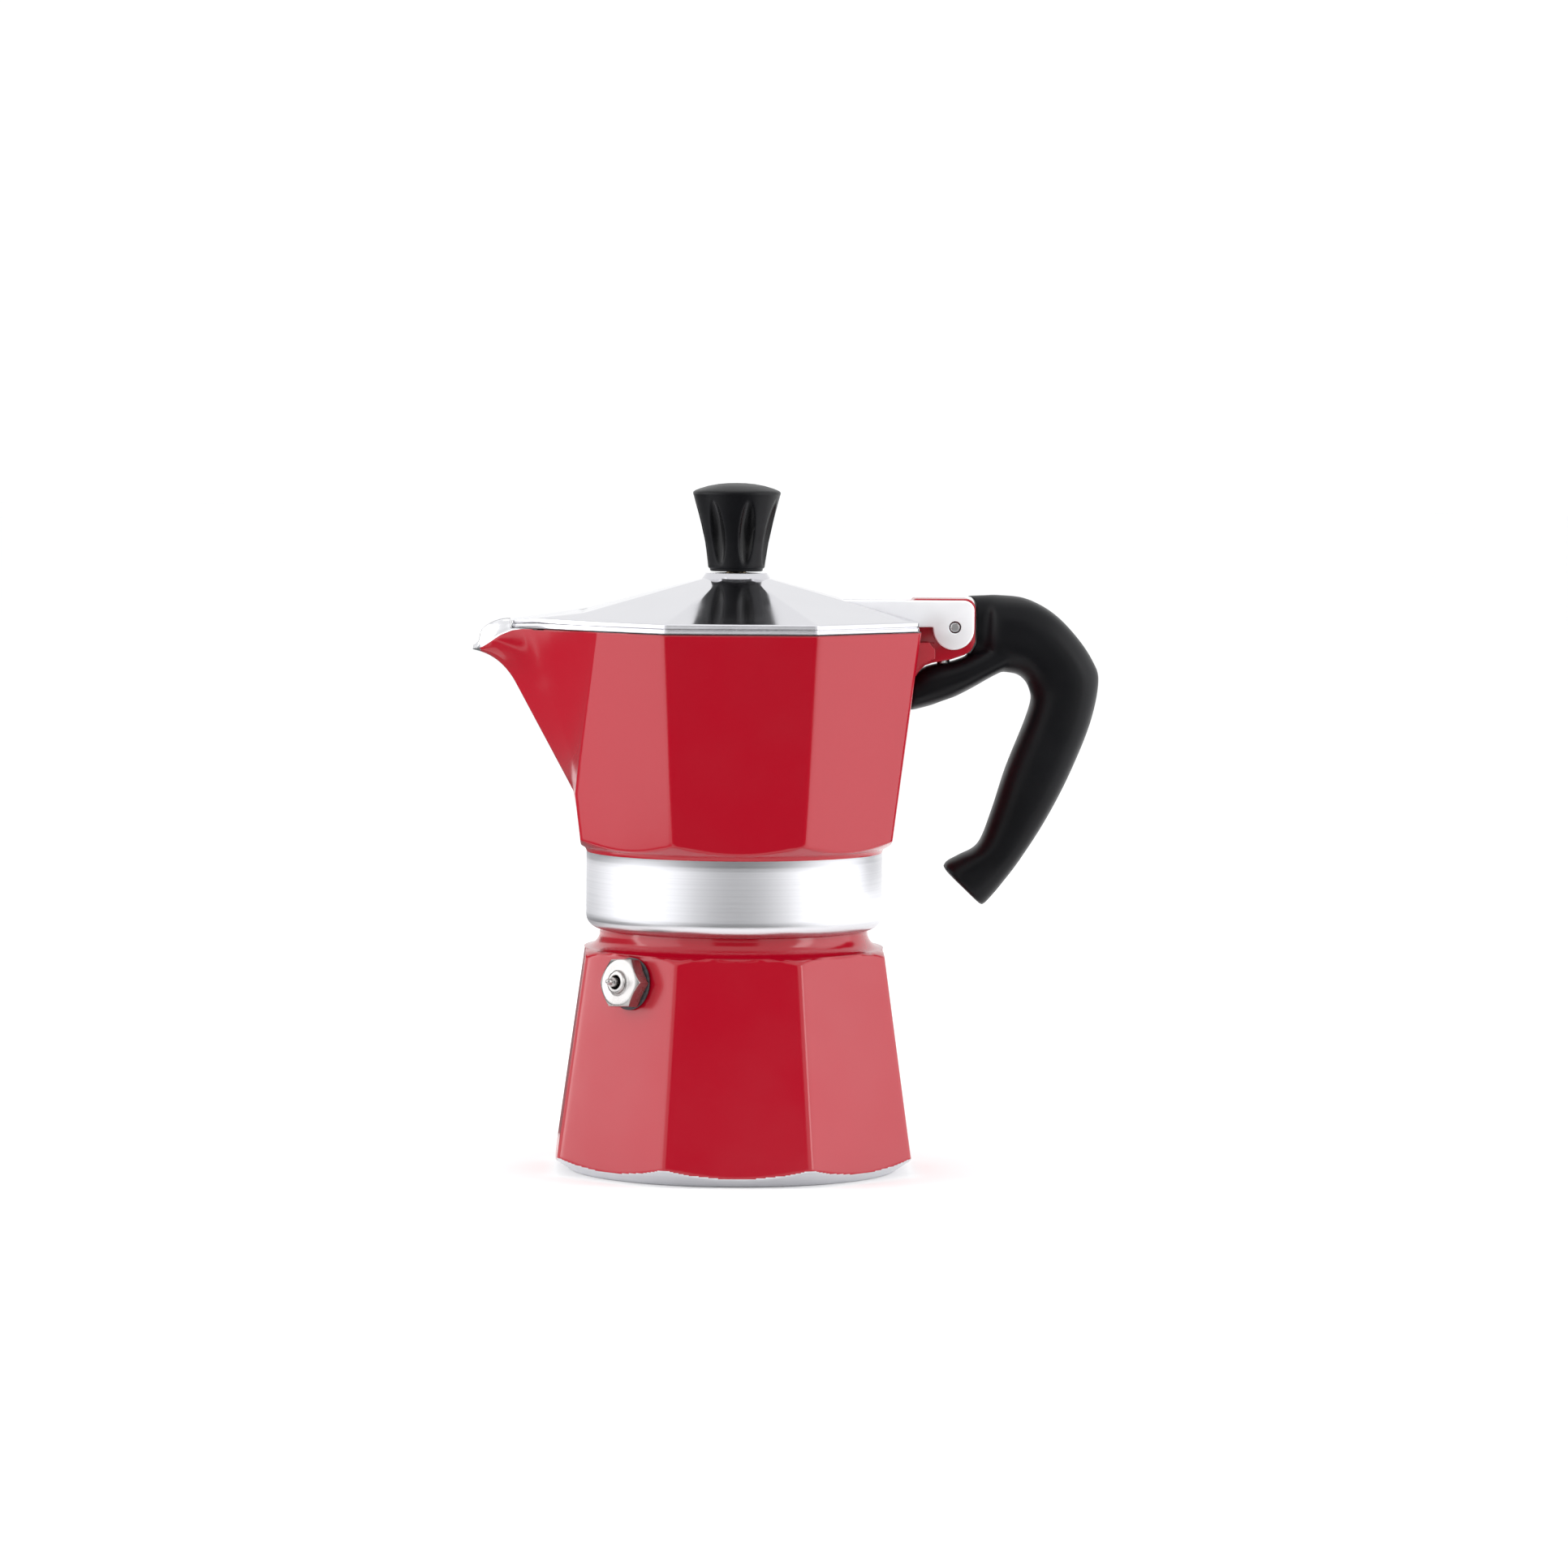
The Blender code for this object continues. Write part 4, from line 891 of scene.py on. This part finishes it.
# ---------------------------------------------------------------- lid

def lid_height(x, y):
    """Height of the lid's upper face: seven sloping facets, the tongue over the spout and the boss."""
    apothem = LID_CIRCUMRADIUS * APOTHEM
    planes = []
    for k in LID_FACETS:
        facing = polar(1.0, 45.0 * k)
        planes.append(LID_SKIRT_TOP_Z + LID_SLOPE * (apothem - x * facing.x - y * facing.y))
    facet = LID_SKIRT_TOP_Z + LID_SLOPE * (apothem + x)
    kink_x, kink_z, tongue_slope = LID_TONGUE
    planes.append(max(facet, kink_z + tongue_slope * (x - kink_x)))
    boss = LID_TOP_Z - max(0.0, math.hypot(x, y) - LID_BOSS_RADIUS) * 1.5
    return max(soft_min(planes, 0.05), boss)


def lid_outline(angle_deg, offset=0.0):
    """Distance from the axis to the lid's edge in one direction, less an offset."""
    root = on_side_facet(LID_CIRCUMRADIUS, SPOUT_SPREAD - 0.4)
    nose = Vector(LID_TONGUE_NOSE)
    side_angle, side_distance = spout_side(root, nose)
    planes = [(45.0 * k, LID_CIRCUMRADIUS * APOTHEM - offset) for k in LID_FACETS]
    planes += [(side_angle, side_distance - offset), (-side_angle, side_distance - offset)]
    planes.append((180.0, -nose.x - offset))
    return soft_reach(planes, angle_deg, 0.22)


def lid_ring(degrees, radii):
    """A ring of points on the lid's upper face."""
    spots = [polar(radius, angle) for angle, radius in zip(degrees, radii)]
    return [(spot.x, spot.y, lid_height(spot.x, spot.y)) for spot in spots]


def build_lid():
    corners = [CORNERS[k] for k in (0, 1, 2, 5, 6, 7)]
    degrees = directions(1.5, *corners, (174.5, 2.0, 0.4), (185.5, 2.0, 0.4), (180.0, 3.0, 0.5))
    near_boss = [1.95, 2.6, 6.4, 6.8, 7.0, 7.1, 7.2, 7.5, 7.8, 8.0, 8.2, 8.6]
    rings = [lid_ring(degrees, [radius] * len(degrees)) for radius in near_boss]
    outer = [lid_outline(angle) for angle in degrees]
    for i in range(1, 41):
        rings.append(lid_ring(degrees, [blend(near_boss[-1], reach - 0.12, i / 40) for reach in outer]))
    edge_tops = [point[2] for point in rings[-1]]
    skirt = ((0.03, 0.0), (0.3, 0.0), (0.42, 0.0), (0.48, 0.16), (0.58, 0.16), (0.64, 0.0), (0.72, 0.0))
    for share, inset in skirt:
        rings.append([(*polar(reach - inset, angle), blend(top, LID_SKIRT_BOTTOM_Z, share) - 0.03)
                      for angle, reach, top in zip(degrees, outer, edge_tops)])
    top_rows = len(rings)
    inside = [lid_outline(angle, LID_THICKNESS) for angle in degrees]
    for rise, radii in ((0.12, outer), (0.0, [reach - 0.12 for reach in outer]), (0.0, inside)):
        spots = [polar(radius, angle) for angle, radius in zip(degrees, radii)]
        rings.append([(*spot, LID_SKIRT_BOTTOM_Z + rise) for spot in spots])
    for share in (1.0, 0.8, 0.6, 0.4, 0.2, 0.05):
        ring = lid_ring(degrees, [blend(near_boss[0], reach, share) for reach in inside])
        rings.append([(x, y, min(z, LID_TOP_Z - LID_THICKNESS) - LID_THICKNESS) for x, y, z in ring])

    def finish_of(row, column, centre):
        return 0 if row < top_rows else 1

    lid = skin("lid_plate", rings, True, finish_of, FLAT_SIDED_ANGLE_DEG)
    combine(lid, box("hinge_notch", (38.7, -EAR_INNER_Y, 120.0), (60.0, EAR_INNER_Y, ABOVE_POT_Z)))
    place(lid, "lid", "polished", [POLISHED, CAST], "lid")
    for side in (-1.0, 1.0):
        low, high = sorted((side * EAR_INNER_Y, side * (EAR_INNER_Y + EAR_THICKNESS)))
        ear = plate("lid_ear_near" if side < 0 else "lid_ear_far", ear_outline(), low, high, 0.35)
        combine(ear, rod("ear_hole", 1.42, (HINGE_X, -20.0, HINGE_Z), (HINGE_X, 20.0, HINGE_Z)))
        smooth(ear, FLAT_SIDED_ANGLE_DEG)
        place(ear, "lid", "polished", [SATIN])


def ear_outline():
    """Side outline of one rib with its hinge ear at the rear."""
    corner = 2.3
    top = 133.15
    end_x = 55.05
    lobe_centre = (50.3, 126.5)
    lobe = end_x - lobe_centre[0]
    outline = [(23.5, top)]
    outline += arc((end_x - corner, top - corner), corner, 90.0, 0.0, 10)
    outline += arc(lobe_centre, lobe, 0.0, -180.0, 32)
    outline += [(lobe_centre[0] - lobe, 127.0), (41.2, 127.0), (41.2, 128.1)]
    return outline


# ---------------------------------------------------------------- knob

def knob_flute_radius(angle_deg, z):
    """Distance to the ellipsoid that hollows one flute, in a direction counted from its middle."""
    middle_z = 148.6
    half_height = 8.4
    half_width = 2.5
    lean = 0.2117
    t = (z - middle_z) / half_height
    if abs(t) >= 1.0:
        return MISS
    centre = 9.35 + math.tan(lean) * (z - middle_z)
    angle = math.radians(angle_deg)
    gap = half_width ** 2 * (1.0 - t * t) - (centre * math.sin(angle)) ** 2
    return centre * math.cos(angle) - math.sqrt(gap) if gap > 0.0 else MISS


def build_knob():
    base = KNOB_BOTTOM_Z
    profile = path((3.0, base + 0.4), (3.0, base), (5.9, base), (6.15, base + 0.2), (6.15, base + 0.55, 2),
                   (6.4, base + 0.72), (6.6, base + 0.95), (6.75, 141.7, 4), (7.1, 144.0, 9),
                   (7.45, 146.2, 9), (7.95, 148.4, 9), (8.45, 150.7, 9), (9.0, 153.0, 9), (9.6, 155.3, 9),
                   (10.05, 157.0, 6), (10.22, 157.5, 2), (10.15, 157.9, 2), (9.7, 158.25, 2),
                   (8.6, 158.7, 3), (6.6, 159.3, 3), (4.2, 159.75, 3), (2.0, 159.95, 2), (0.0, 160.0, 2))
    columns = KNOB_FLUTES * 40
    sector = 360.0 / KNOB_FLUTES
    first_flute = sector / 2 - 100.0
    depths = {}
    rings = []
    for row, (radius, z) in enumerate(profile):
        ring = []
        for k in range(columns):
            angle = 360.0 * k / columns
            local = (angle - first_flute + sector / 2) % sector - sector / 2
            r = radius
            if 140.2 < z < 157.6:
                r = soft_min([radius, knob_flute_radius(local, z)], 0.09)
            depths[(row, k)] = radius - r
            ring.append((*polar(r, angle), z))
        rings.append(ring)

    # faces more than 0.22 mm deep take the flute material, whose darker black is painted shade in the hollows
    def finish_of(row, column, centre):
        return 1 if depths[(row, column)] > 0.22 else 0

    knob = skin("knob_grip", rings, False, finish_of)
    place(knob, "lid", "bakelite", [BAKELITE, FLUTE], "knob")
    sleeve = [(2.7, base + 9.0), (2.7, base + 0.3), (1.8, base + 0.3), (1.8, base + 9.0)]
    place(turned("knob_insert_sleeve", sleeve, 48), "lid", "brass", [BRASS], "knob_insert")
    under = LID_TOP_Z - LID_THICKNESS
    ring = [(3.85, under - 0.3), (4.0, under - 0.4), (4.0, under - 0.8), (3.85, under - 0.9)]
    ring += [(1.8, under - 0.9), (1.8, under - 0.3)]
    place(turned("knob_washer_ring", ring, 48), "lid", "steel", [STEEL], "knob_washer")
    head = under - 1.2
    bolt = path((0.0, base + 8.0), (1.2, base + 8.0), (1.5, base + 7.6), (1.5, head, 8), (3.1, head),
                (3.3, head - 0.2), (3.3, head - 0.9), (2.9, head - 1.5), (2.2, head - 2.0),
                (0.0, head - 2.2))
    screw = turned("knob_screw_bolt", bolt, 48, loop=False)
    combine(screw, box("driver_slot", (-4.0, -0.4, head - 4.0), (4.0, 0.4, head - 1.2)))
    smooth(screw)
    place(screw, "lid", "steel", [STEEL], "knob_screw")


# ---------------------------------------------------------------- handle and fasteners

def catmull(points, t):
    """A smooth curve through points of any length of numbers, t running from 0 to len - 1."""
    i = int(min(max(0, math.floor(t)), len(points) - 2))
    u = t - i
    p0 = points[max(0, i - 1)]
    p1 = points[i]
    p2 = points[i + 1]
    p3 = points[min(len(points) - 1, i + 2)]
    values = []
    for a, b, c, d in zip(p0, p1, p2, p3):
        square = 2 * a - 5 * b + 4 * c - d
        cube = 3 * b - a - 3 * c + d
        values.append(0.5 * (2 * b + (c - a) * u + square * u * u + cube * u ** 3))
    return values


def oval_loft(name, stations):
    """Skin rounded sections between outer and inner edge points in XZ, each with its half width."""
    flat = [[*outer, *inner, half] for outer, inner, half in stations]
    sections_each = 5
    points = 48
    power = 0.8
    rings = []
    for step in range((len(flat) - 1) * sections_each + 1):
        outer_x, outer_z, inner_x, inner_z, half = catmull(flat, step / sections_each)
        centre = Vector((outer_x + inner_x, outer_z + inner_z)) / 2
        arm = Vector((outer_x, outer_z)) - centre
        ring = []
        for k in range(points):
            angle = 2.0 * math.pi * k / points
            across = math.copysign(abs(math.cos(angle)) ** power, math.cos(angle))
            aside = math.copysign(abs(math.sin(angle)) ** power, math.sin(angle))
            spot = centre + arm * across
            ring.append((spot.x, half * aside, spot.y))
        rings.append(ring)
    first, last = [tuple(sum(values) / points for values in zip(*ring)) for ring in (rings[0], rings[-1])]
    return skin(name, [[first] * points, *rings, [last] * points])


def build_handle():
    wide = HANDLE_HALF_WIDTH
    narrow = 5.2
    grip = [((53.6, 134.1), (53.6, 121.0), narrow), ((58.2, 134.3), (57.4, 119.0), narrow)]
    grip += [((61.0, 134.35), (59.4, 117.0), wide - 0.5), ((67.5, 133.6), (62.6, 116.4), wide)]
    grip += [((74.0, 130.2), (65.6, 115.9), wide), ((79.5, 124.7), (67.6, 114.3), wide)]
    grip += [((83.3, 119.1), (68.6, 112.2), wide), ((84.7, 114.3), (68.9, 109.8), wide)]
    grip += [((82.8, 104.5), (67.3, 104.6), wide), ((77.9, 92.2), (63.1, 94.0), wide - 0.4)]
    grip += [((72.4, 81.5), (60.0, 84.2), wide - 0.9), ((66.6, 72.4), (56.9, 76.4), wide - 1.2)]
    grip += [((62.8, 67.3), (52.6, 73.7), wide - 1.2), ((60.0, 63.9), (49.8, 72.2), wide - 1.2)]
    grip += [((58.0, 62.0), (48.9, 70.9), wide - 1.5), ((56.6, 62.9), (49.9, 69.3), wide - 3.0)]
    arm = [((41.2, 114.6), (40.4, 107.2), wide - 1.5), ((43.6, 117.2), (45.8, 108.6), wide - 1.2)]
    arm += [((46.5, 118.2), (50.3, 110.2), wide - 1.0), ((50.2, 118.8), (55.0, 112.6), wide - 0.8)]
    arm += [((54.8, 120.6), (59.5, 115.2), wide - 0.7), ((60.5, 124.0), (65.0, 118.0), wide - 0.8)]
    handle = oval_loft("handle_grip", grip)
    combine(handle, oval_loft("handle_arm", arm), "UNION")
    remesh = handle.modifiers.new("remesh", "REMESH")
    remesh.mode = "VOXEL"
    remesh.voxel_size = 0.55 * MM
    relax = handle.modifiers.new("relax", "SMOOTH")
    relax.factor = 0.5
    relax.iterations = 5
    freeze(handle)
    room = [(x + HANDLE_CLEARANCE if x > 54 else x, z) for x, z in bracket_outline()]
    room = [(x, z - HANDLE_CLEARANCE if z < 126 else z + 0.6) for x, z in room]
    combine(handle, plate("bracket_room", room, -12.0, 12.0))
    for low, high in ((-12.0, -BRACKET_HALF_WIDTH), (BRACKET_HALF_WIDTH, 12.0)):
        combine(handle, rod("ear_room", 7.1, (HINGE_X, low, HINGE_Z), (HINGE_X, high, HINGE_Z), 96))
    combine(handle, rod("screw_pocket", 3.4, (HANDLE_SCREW_X, 0.0, 100.0), (HANDLE_SCREW_X, 0.0, 112.6)))
    smooth(handle, 40.0)
    place(handle, "pot", "bakelite", [BAKELITE], "handle")


def build_fasteners():
    reach = EAR_INNER_Y + EAR_THICKNESS
    outline = path((0.0, reach), (0.85, reach), (1.15, reach - 0.3, 2), (1.15, -reach + 0.3, 4),
                   (0.85, -reach, 2), (0.0, -reach))
    pin = turned("hinge_pin_rod", outline, 48, loop=False)
    lie_down = Matrix.Rotation(math.pi / 2, 4, "X")
    pin.data.transform(Matrix.Translation((HINGE_X * MM, 0.0, HINGE_Z * MM)) @ lie_down)
    place(pin, "pot", "steel", [STEEL], "hinge_pin")
    outline = path((0.0, 123.6), (1.1, 123.6), (1.5, 123.0), (1.5, 112.3, 6), (2.9, 112.3), (3.0, 112.1),
                   (3.0, 111.4), (2.6, 110.9), (2.0, 110.6), (0.0, 110.6))
    screw = turned("handle_screw_bolt", outline, 48, loop=False)
    combine(screw, box("screw_slot", (-4.0, -0.4, 108.0), (4.0, 0.4, 111.3)))
    screw.data.transform(Matrix.Translation((HANDLE_SCREW_X * MM, 0.0, 0.0)))
    smooth(screw)
    place(screw, "pot", "steel", [STEEL], "handle_screw")


# ---------------------------------------------------------------- funnel, filter plate and gasket

def hole_cutter(name, spots, radius, z_low, z_high):
    """Many small cylinders as one object."""
    bm = bmesh.new()
    for x, y in spots:
        middle = Matrix.Translation((x * MM, y * MM, (z_low + z_high) / 2 * MM))
        bmesh.ops.create_cone(bm, cap_ends=True, segments=12, radius1=radius * MM, radius2=radius * MM,
                              depth=(z_high - z_low) * MM, matrix=middle)
    return add_object(name, bm)


def perforate(disc, rings, radius, z_low, z_high):
    """Cut rings of round holes, each ring (radius, count)."""
    spots = []
    for ring_radius, count in rings:
        spots += [tuple(polar(ring_radius, 360.0 * (k + 0.5) / count)) for k in range(count)]
    combine(disc, hole_cutter("holes", spots, radius, z_low, z_high))
    smooth(disc)


def build_funnel():
    profile = path((24.0, 69.1), (28.5, 69.1, 2), (28.7, 68.9), (28.7, 68.5), (28.5, 68.3), (25.2, 68.3),
                   (24.8, 67.9), (24.8, 51.6, 4), (24.2, 50.5, 2), (5.2, 43.4, 5), (4.3, 42.2, 2),
                   (4.3, 9.2, 6), (4.1, 9.0), (3.6, 9.0), (3.5, 9.2), (3.5, 42.6, 6), (4.6, 44.0, 2),
                   (23.6, 51.2, 5), (24.0, 52.0, 2), (24.0, 68.8, 4))
    place(turned("funnel_sheet", profile, 144), "funnel", "aluminium", [SHEET], "funnel")
    profile = path((0.0, 52.5), (23.55, 52.5, 5), (23.7, 52.3), (23.7, 51.9), (23.5, 51.8), (0.0, 51.8, 5))
    screen = turned("funnel_screen_disc", profile, loop=False)
    perforate(screen, [(2.2, 6)] + [(5.0 + 3.0 * k, 12 + 6 * k) for k in range(6)], 0.55, 50.0, 54.0)
    place(screen, "funnel", "aluminium", [SHEET], "funnel_screen")


def build_seal():
    profile = path((28.5, 72.2), (28.8, 71.8), (28.8, 70.1, 2), (28.5, 69.7), (24.1, 69.7, 2), (23.8, 70.1),
                   (23.8, 71.8, 2), (24.1, 72.2))
    place(turned("gasket_ring", profile, 128), "seal", "rubber", [RUBBER], "gasket")
    profile = path((0.0, 72.2), (19.3, 72.2, 5), (20.0, 72.4), (21.2, 73.0, 2), (21.8, 73.1),
                   (28.6, 73.1, 2), (28.8, 72.9), (28.8, 72.6), (28.6, 72.5), (21.9, 72.5, 2),
                   (21.4, 72.35), (20.1, 71.75, 2), (19.5, 71.6), (0.0, 71.6, 5))
    disc = turned("filter_plate_disc", profile, loop=False)
    perforate(disc, [(0.0, 1)] + [(2.6 * k, 6 * k) for k in range(1, 8)], 0.42, 70.0, 75.0)
    place(disc, "filter", "aluminium", [SHEET], "filter_plate")


# ---------------------------------------------------------------- safety valve

def valve_matrix():
    """The valve's own frame: +Z out of the facet between the spout and the front, z = 0 on the facet."""
    run = line_at(BOILER_FOOT, BOILER_SHOULDER, 0.0) - line_at(BOILER_FOOT, BOILER_SHOULDER, 1.0)
    lean = math.atan2(run * APOTHEM, 1.0)
    facing = Vector((-math.sqrt(0.5), -math.sqrt(0.5), 0.0))
    along = Vector((math.sqrt(0.5), -math.sqrt(0.5), 0.0))
    normal = facing * math.cos(lean) + Vector((0.0, 0.0, math.sin(lean)))
    centre = facing * line_at(BOILER_FOOT, BOILER_SHOULDER, VALVE_Z) * APOTHEM + along * VALVE_OFFSET
    centre.z = VALVE_Z
    turn = Matrix((along, normal.cross(along), normal)).transposed().to_4x4()
    return Matrix.Translation(centre * MM) @ turn


def build_valve_hex():
    profile = path((1.6, 5.55), (1.75, 5.7), (2.2, 5.7), (2.55, 5.55), (2.7, 5.2), (2.7, 4.85), (2.9, 4.68),
                   (3.2, 4.65), (4.9, 4.65, 5), (5.3, 4.6), (5.7, 4.4, 2), (6.3, 4.0, 4), (6.6, 3.7),
                   (6.6, 1.3, 5), (6.3, 1.15), (3.9, 1.15), (3.9, -7.7, 4), (3.6, -8.0), (3.0, -8.0),
                   (3.0, 3.3, 3), (1.6, 3.3))
    flats = [(VALVE_HEX_TURN_DEG + 30.0 + 60.0 * k, VALVE_HEX_APOTHEM) for k in range(6)]
    degrees = directions(3.0, *[(VALVE_HEX_TURN_DEG + 60.0 * k, 3.0, 0.5) for k in range(6)])
    rings = []
    for radius, z in profile:
        ring = []
        for angle in degrees:
            is_hexagon = radius > 4.5
            r = soft_min([radius, soft_reach(flats, angle, 0.06)], 0.06) if is_hexagon else radius
            ring.append((*polar(r, angle), z))
        rings.append(ring)
    return skin("valve_hex", rings, True)


def build_valve():
    washer = [(5.9, 0.85), (6.0, 0.75), (6.0, 0.4), (5.9, 0.3), (4.3, 0.3), (4.3, 0.85)]
    seat = [(2.7, -6.5), (2.7, -7.7), (1.2, -7.7), (1.2, -6.5)]
    disc = [(0.0, -5.5), (2.1, -5.5), (2.2, -5.6), (2.2, -6.1), (2.1, -6.2), (0.0, -6.2)]
    pin = path((0.0, 8.4), (0.3, 8.36), (0.55, 8.2), (0.7, 7.9), (0.7, 7.0), (0.85, 6.85), (1.1, 6.6),
               (1.1, -4.2, 8), (2.3, -4.2), (2.3, -5.2), (0.0, -5.2))
    facts = ((build_valve_hex(), "base", "nickel", NICKEL, "valve_body"),
             (turned("valve_washer_ring", washer, 64), "base", "fibre", FIBRE, "valve_washer"),
             (turned("valve_seat_ring", seat, 48), "base", "brass", BRASS, "valve_seat"),
             (turned("valve_disc_pad", disc, 48, loop=False), "plunger", "rubber", RUBBER, "valve_disc"),
             (turned("valve_plunger_pin", pin, 48, loop=False), "plunger", "nickel", NICKEL, "valve_plunger"),
             (build_spring(), "plunger", "steel", STEEL, "valve_spring"))
    for piece, carrier, slot, material, node in facts:
        piece.data.transform(valve_matrix())
        place(piece, carrier, slot, [material], node)


def build_spring():
    """The valve's coil, in the valve's own frame."""
    turns = 5
    count = turns * 28
    around = 10
    coil_radius = 2.1
    wire_radius = 0.28
    rings = []
    for i in range(count + 1):
        angle = 360.0 * turns * (i / count)
        z = blend(-3.6, 1.5, i / count)
        ring = []
        for k in range(around):
            spin = math.radians(360.0 * k / around)
            spot = polar(coil_radius + wire_radius * math.cos(spin), angle)
            ring.append((spot.x, spot.y, z + wire_radius * math.sin(spin)))
        middle = [(*polar(coil_radius, angle), z)] * around
        rings += [middle, ring] if i == 0 else [ring, middle] if i == count else [ring]
    return skin("valve_spring_coil", rings)


# ---------------------------------------------------------------- floor, light and camera

def aim(obj, target):
    """Turn a light or a board so that its front faces a point."""
    obj.rotation_euler = (Vector(target) - obj.location).to_track_quat("-Z", "Y").to_euler()


def soft_box(name, location, size, power):
    light = bpy.data.lights.new(name, "AREA")
    light.shape = "RECTANGLE"
    light.size, light.size_y = size
    light.energy = power
    obj = bpy.data.objects.new(name, light)
    bpy.context.scene.collection.objects.link(obj)
    obj.location = location
    aim(obj, (0.0, 0.0, 0.08))
    obj.visible_camera = False


def board(name, location, size, facing, level):
    """An evenly glowing board that shapes the reflections, and stays out of the view and the soft light."""
    bm = bmesh.new()
    bmesh.ops.create_grid(bm, x_segments=1, y_segments=1, size=0.5)
    bmesh.ops.scale(bm, vec=(*size, 1.0), verts=bm.verts)
    card = add_object(name, bm)
    card.location = location
    aim(card, card.location + Vector(facing))
    m = Nodes(name + "_paint")
    m.shader.inputs["Base Color"].default_value = (0.0, 0.0, 0.0, 1.0)
    m.shader.inputs["Emission Color"].default_value = (0.97, 0.98, 1.0, 1.0)
    card.data.materials.append(m.done(roughness=1.0, emission_strength=level, specular_ior_level=0.0))
    card.visible_camera = False
    card.visible_diffuse = False
    card.visible_shadow = False
    card.visible_transmission = False


def build_stage():
    bm = bmesh.new()
    bmesh.ops.create_circle(bm, cap_ends=True, segments=96, radius=9.0)
    floor = add_object("floor", bm)
    floor.location.z = -0.00005
    m = Nodes("floor_paper")
    m.tint(m.noise(40.0, 4.0), (0.93, 0.93, 0.93), (0.95, 0.95, 0.95))
    m.bump(m.noise(600.0, 3.0), 0.01)
    floor.data.materials.append(m.done(roughness=0.85, specular_ior_level=0.1))

    world = bpy.data.worlds.new("studio")
    world.use_nodes = True
    background = world.node_tree.nodes["Background"]
    background.inputs["Color"].default_value = (0.99, 0.995, 1.0, 1.0)
    background.inputs["Strength"].default_value = 1.08
    bpy.context.scene.world = world

    soft_box("box_top", (0.0, 0.3, 1.4), (1.2, 1.2), 2.5)
    soft_box("box_left", (-1.1, -0.25, 0.4), (0.9, 0.8), 8.0)
    soft_box("box_right", (1.1, -0.25, 0.4), (0.9, 0.8), 8.0)
    left, right, back, up = (-1.0, 0.0, 0.0), (1.0, 0.0, 0.0), (0.0, 1.0, 0.0), (0.0, 0.0, 1.0)
    board("strip_left", (-0.30, -0.136, 0.15), (0.248, 0.30), right, 1.75)
    board("strip_right", (0.30, 0.0, 0.15), (0.26, 0.30), left, 1.75)
    board("dark_front", (0.0, -1.0, 0.355), (0.7, 0.49), back, 0.03)
    board("dark_floor", (0.0, -0.55, 0.0012), (0.6, 0.80), up, 0.02)
    board("dark_floor_near", (-0.215, -0.025, 0.0012), (0.17, 0.17), up, 0.20)
    board("dark_floor_far", (-0.32, 0.40, 0.0012), (0.56, 0.68), up, 0.20)
    board("dark_spout", (-0.15, 0.170, 0.097), (0.35, 0.056), right, 0.16)


def build_camera():
    camera = bpy.data.cameras.new("camera")
    camera.lens = 145.42
    camera.sensor_width = 36.0
    camera.clip_start = 0.05
    camera.clip_end = 60.0
    obj = bpy.data.objects.new("camera", camera)
    bpy.context.scene.collection.objects.link(obj)
    forward = Vector((0.03557, 0.9975, -0.06086)).normalized()
    right = forward.cross(Vector((0.0, 0.0, 1.0))).normalized()
    up = right.cross(forward)
    roll = math.radians(0.44)
    tilted_right = right * math.cos(roll) + up * math.sin(roll)
    tilted_up = up * math.cos(roll) - right * math.sin(roll)
    turn = Matrix((tilted_right, tilted_up, -forward)).transposed().to_4x4()
    obj.matrix_world = Matrix.Translation((-0.04109, -1.47403, 0.17983)) @ turn
    bpy.context.scene.camera = obj
    bpy.context.scene.view_settings.view_transform = "Standard"


build_boiler()
build_valve()
build_funnel()
build_seal()
build_collector()
build_column()
build_lid()
build_knob()
build_handle()
build_fasteners()
build_stage()
build_camera()
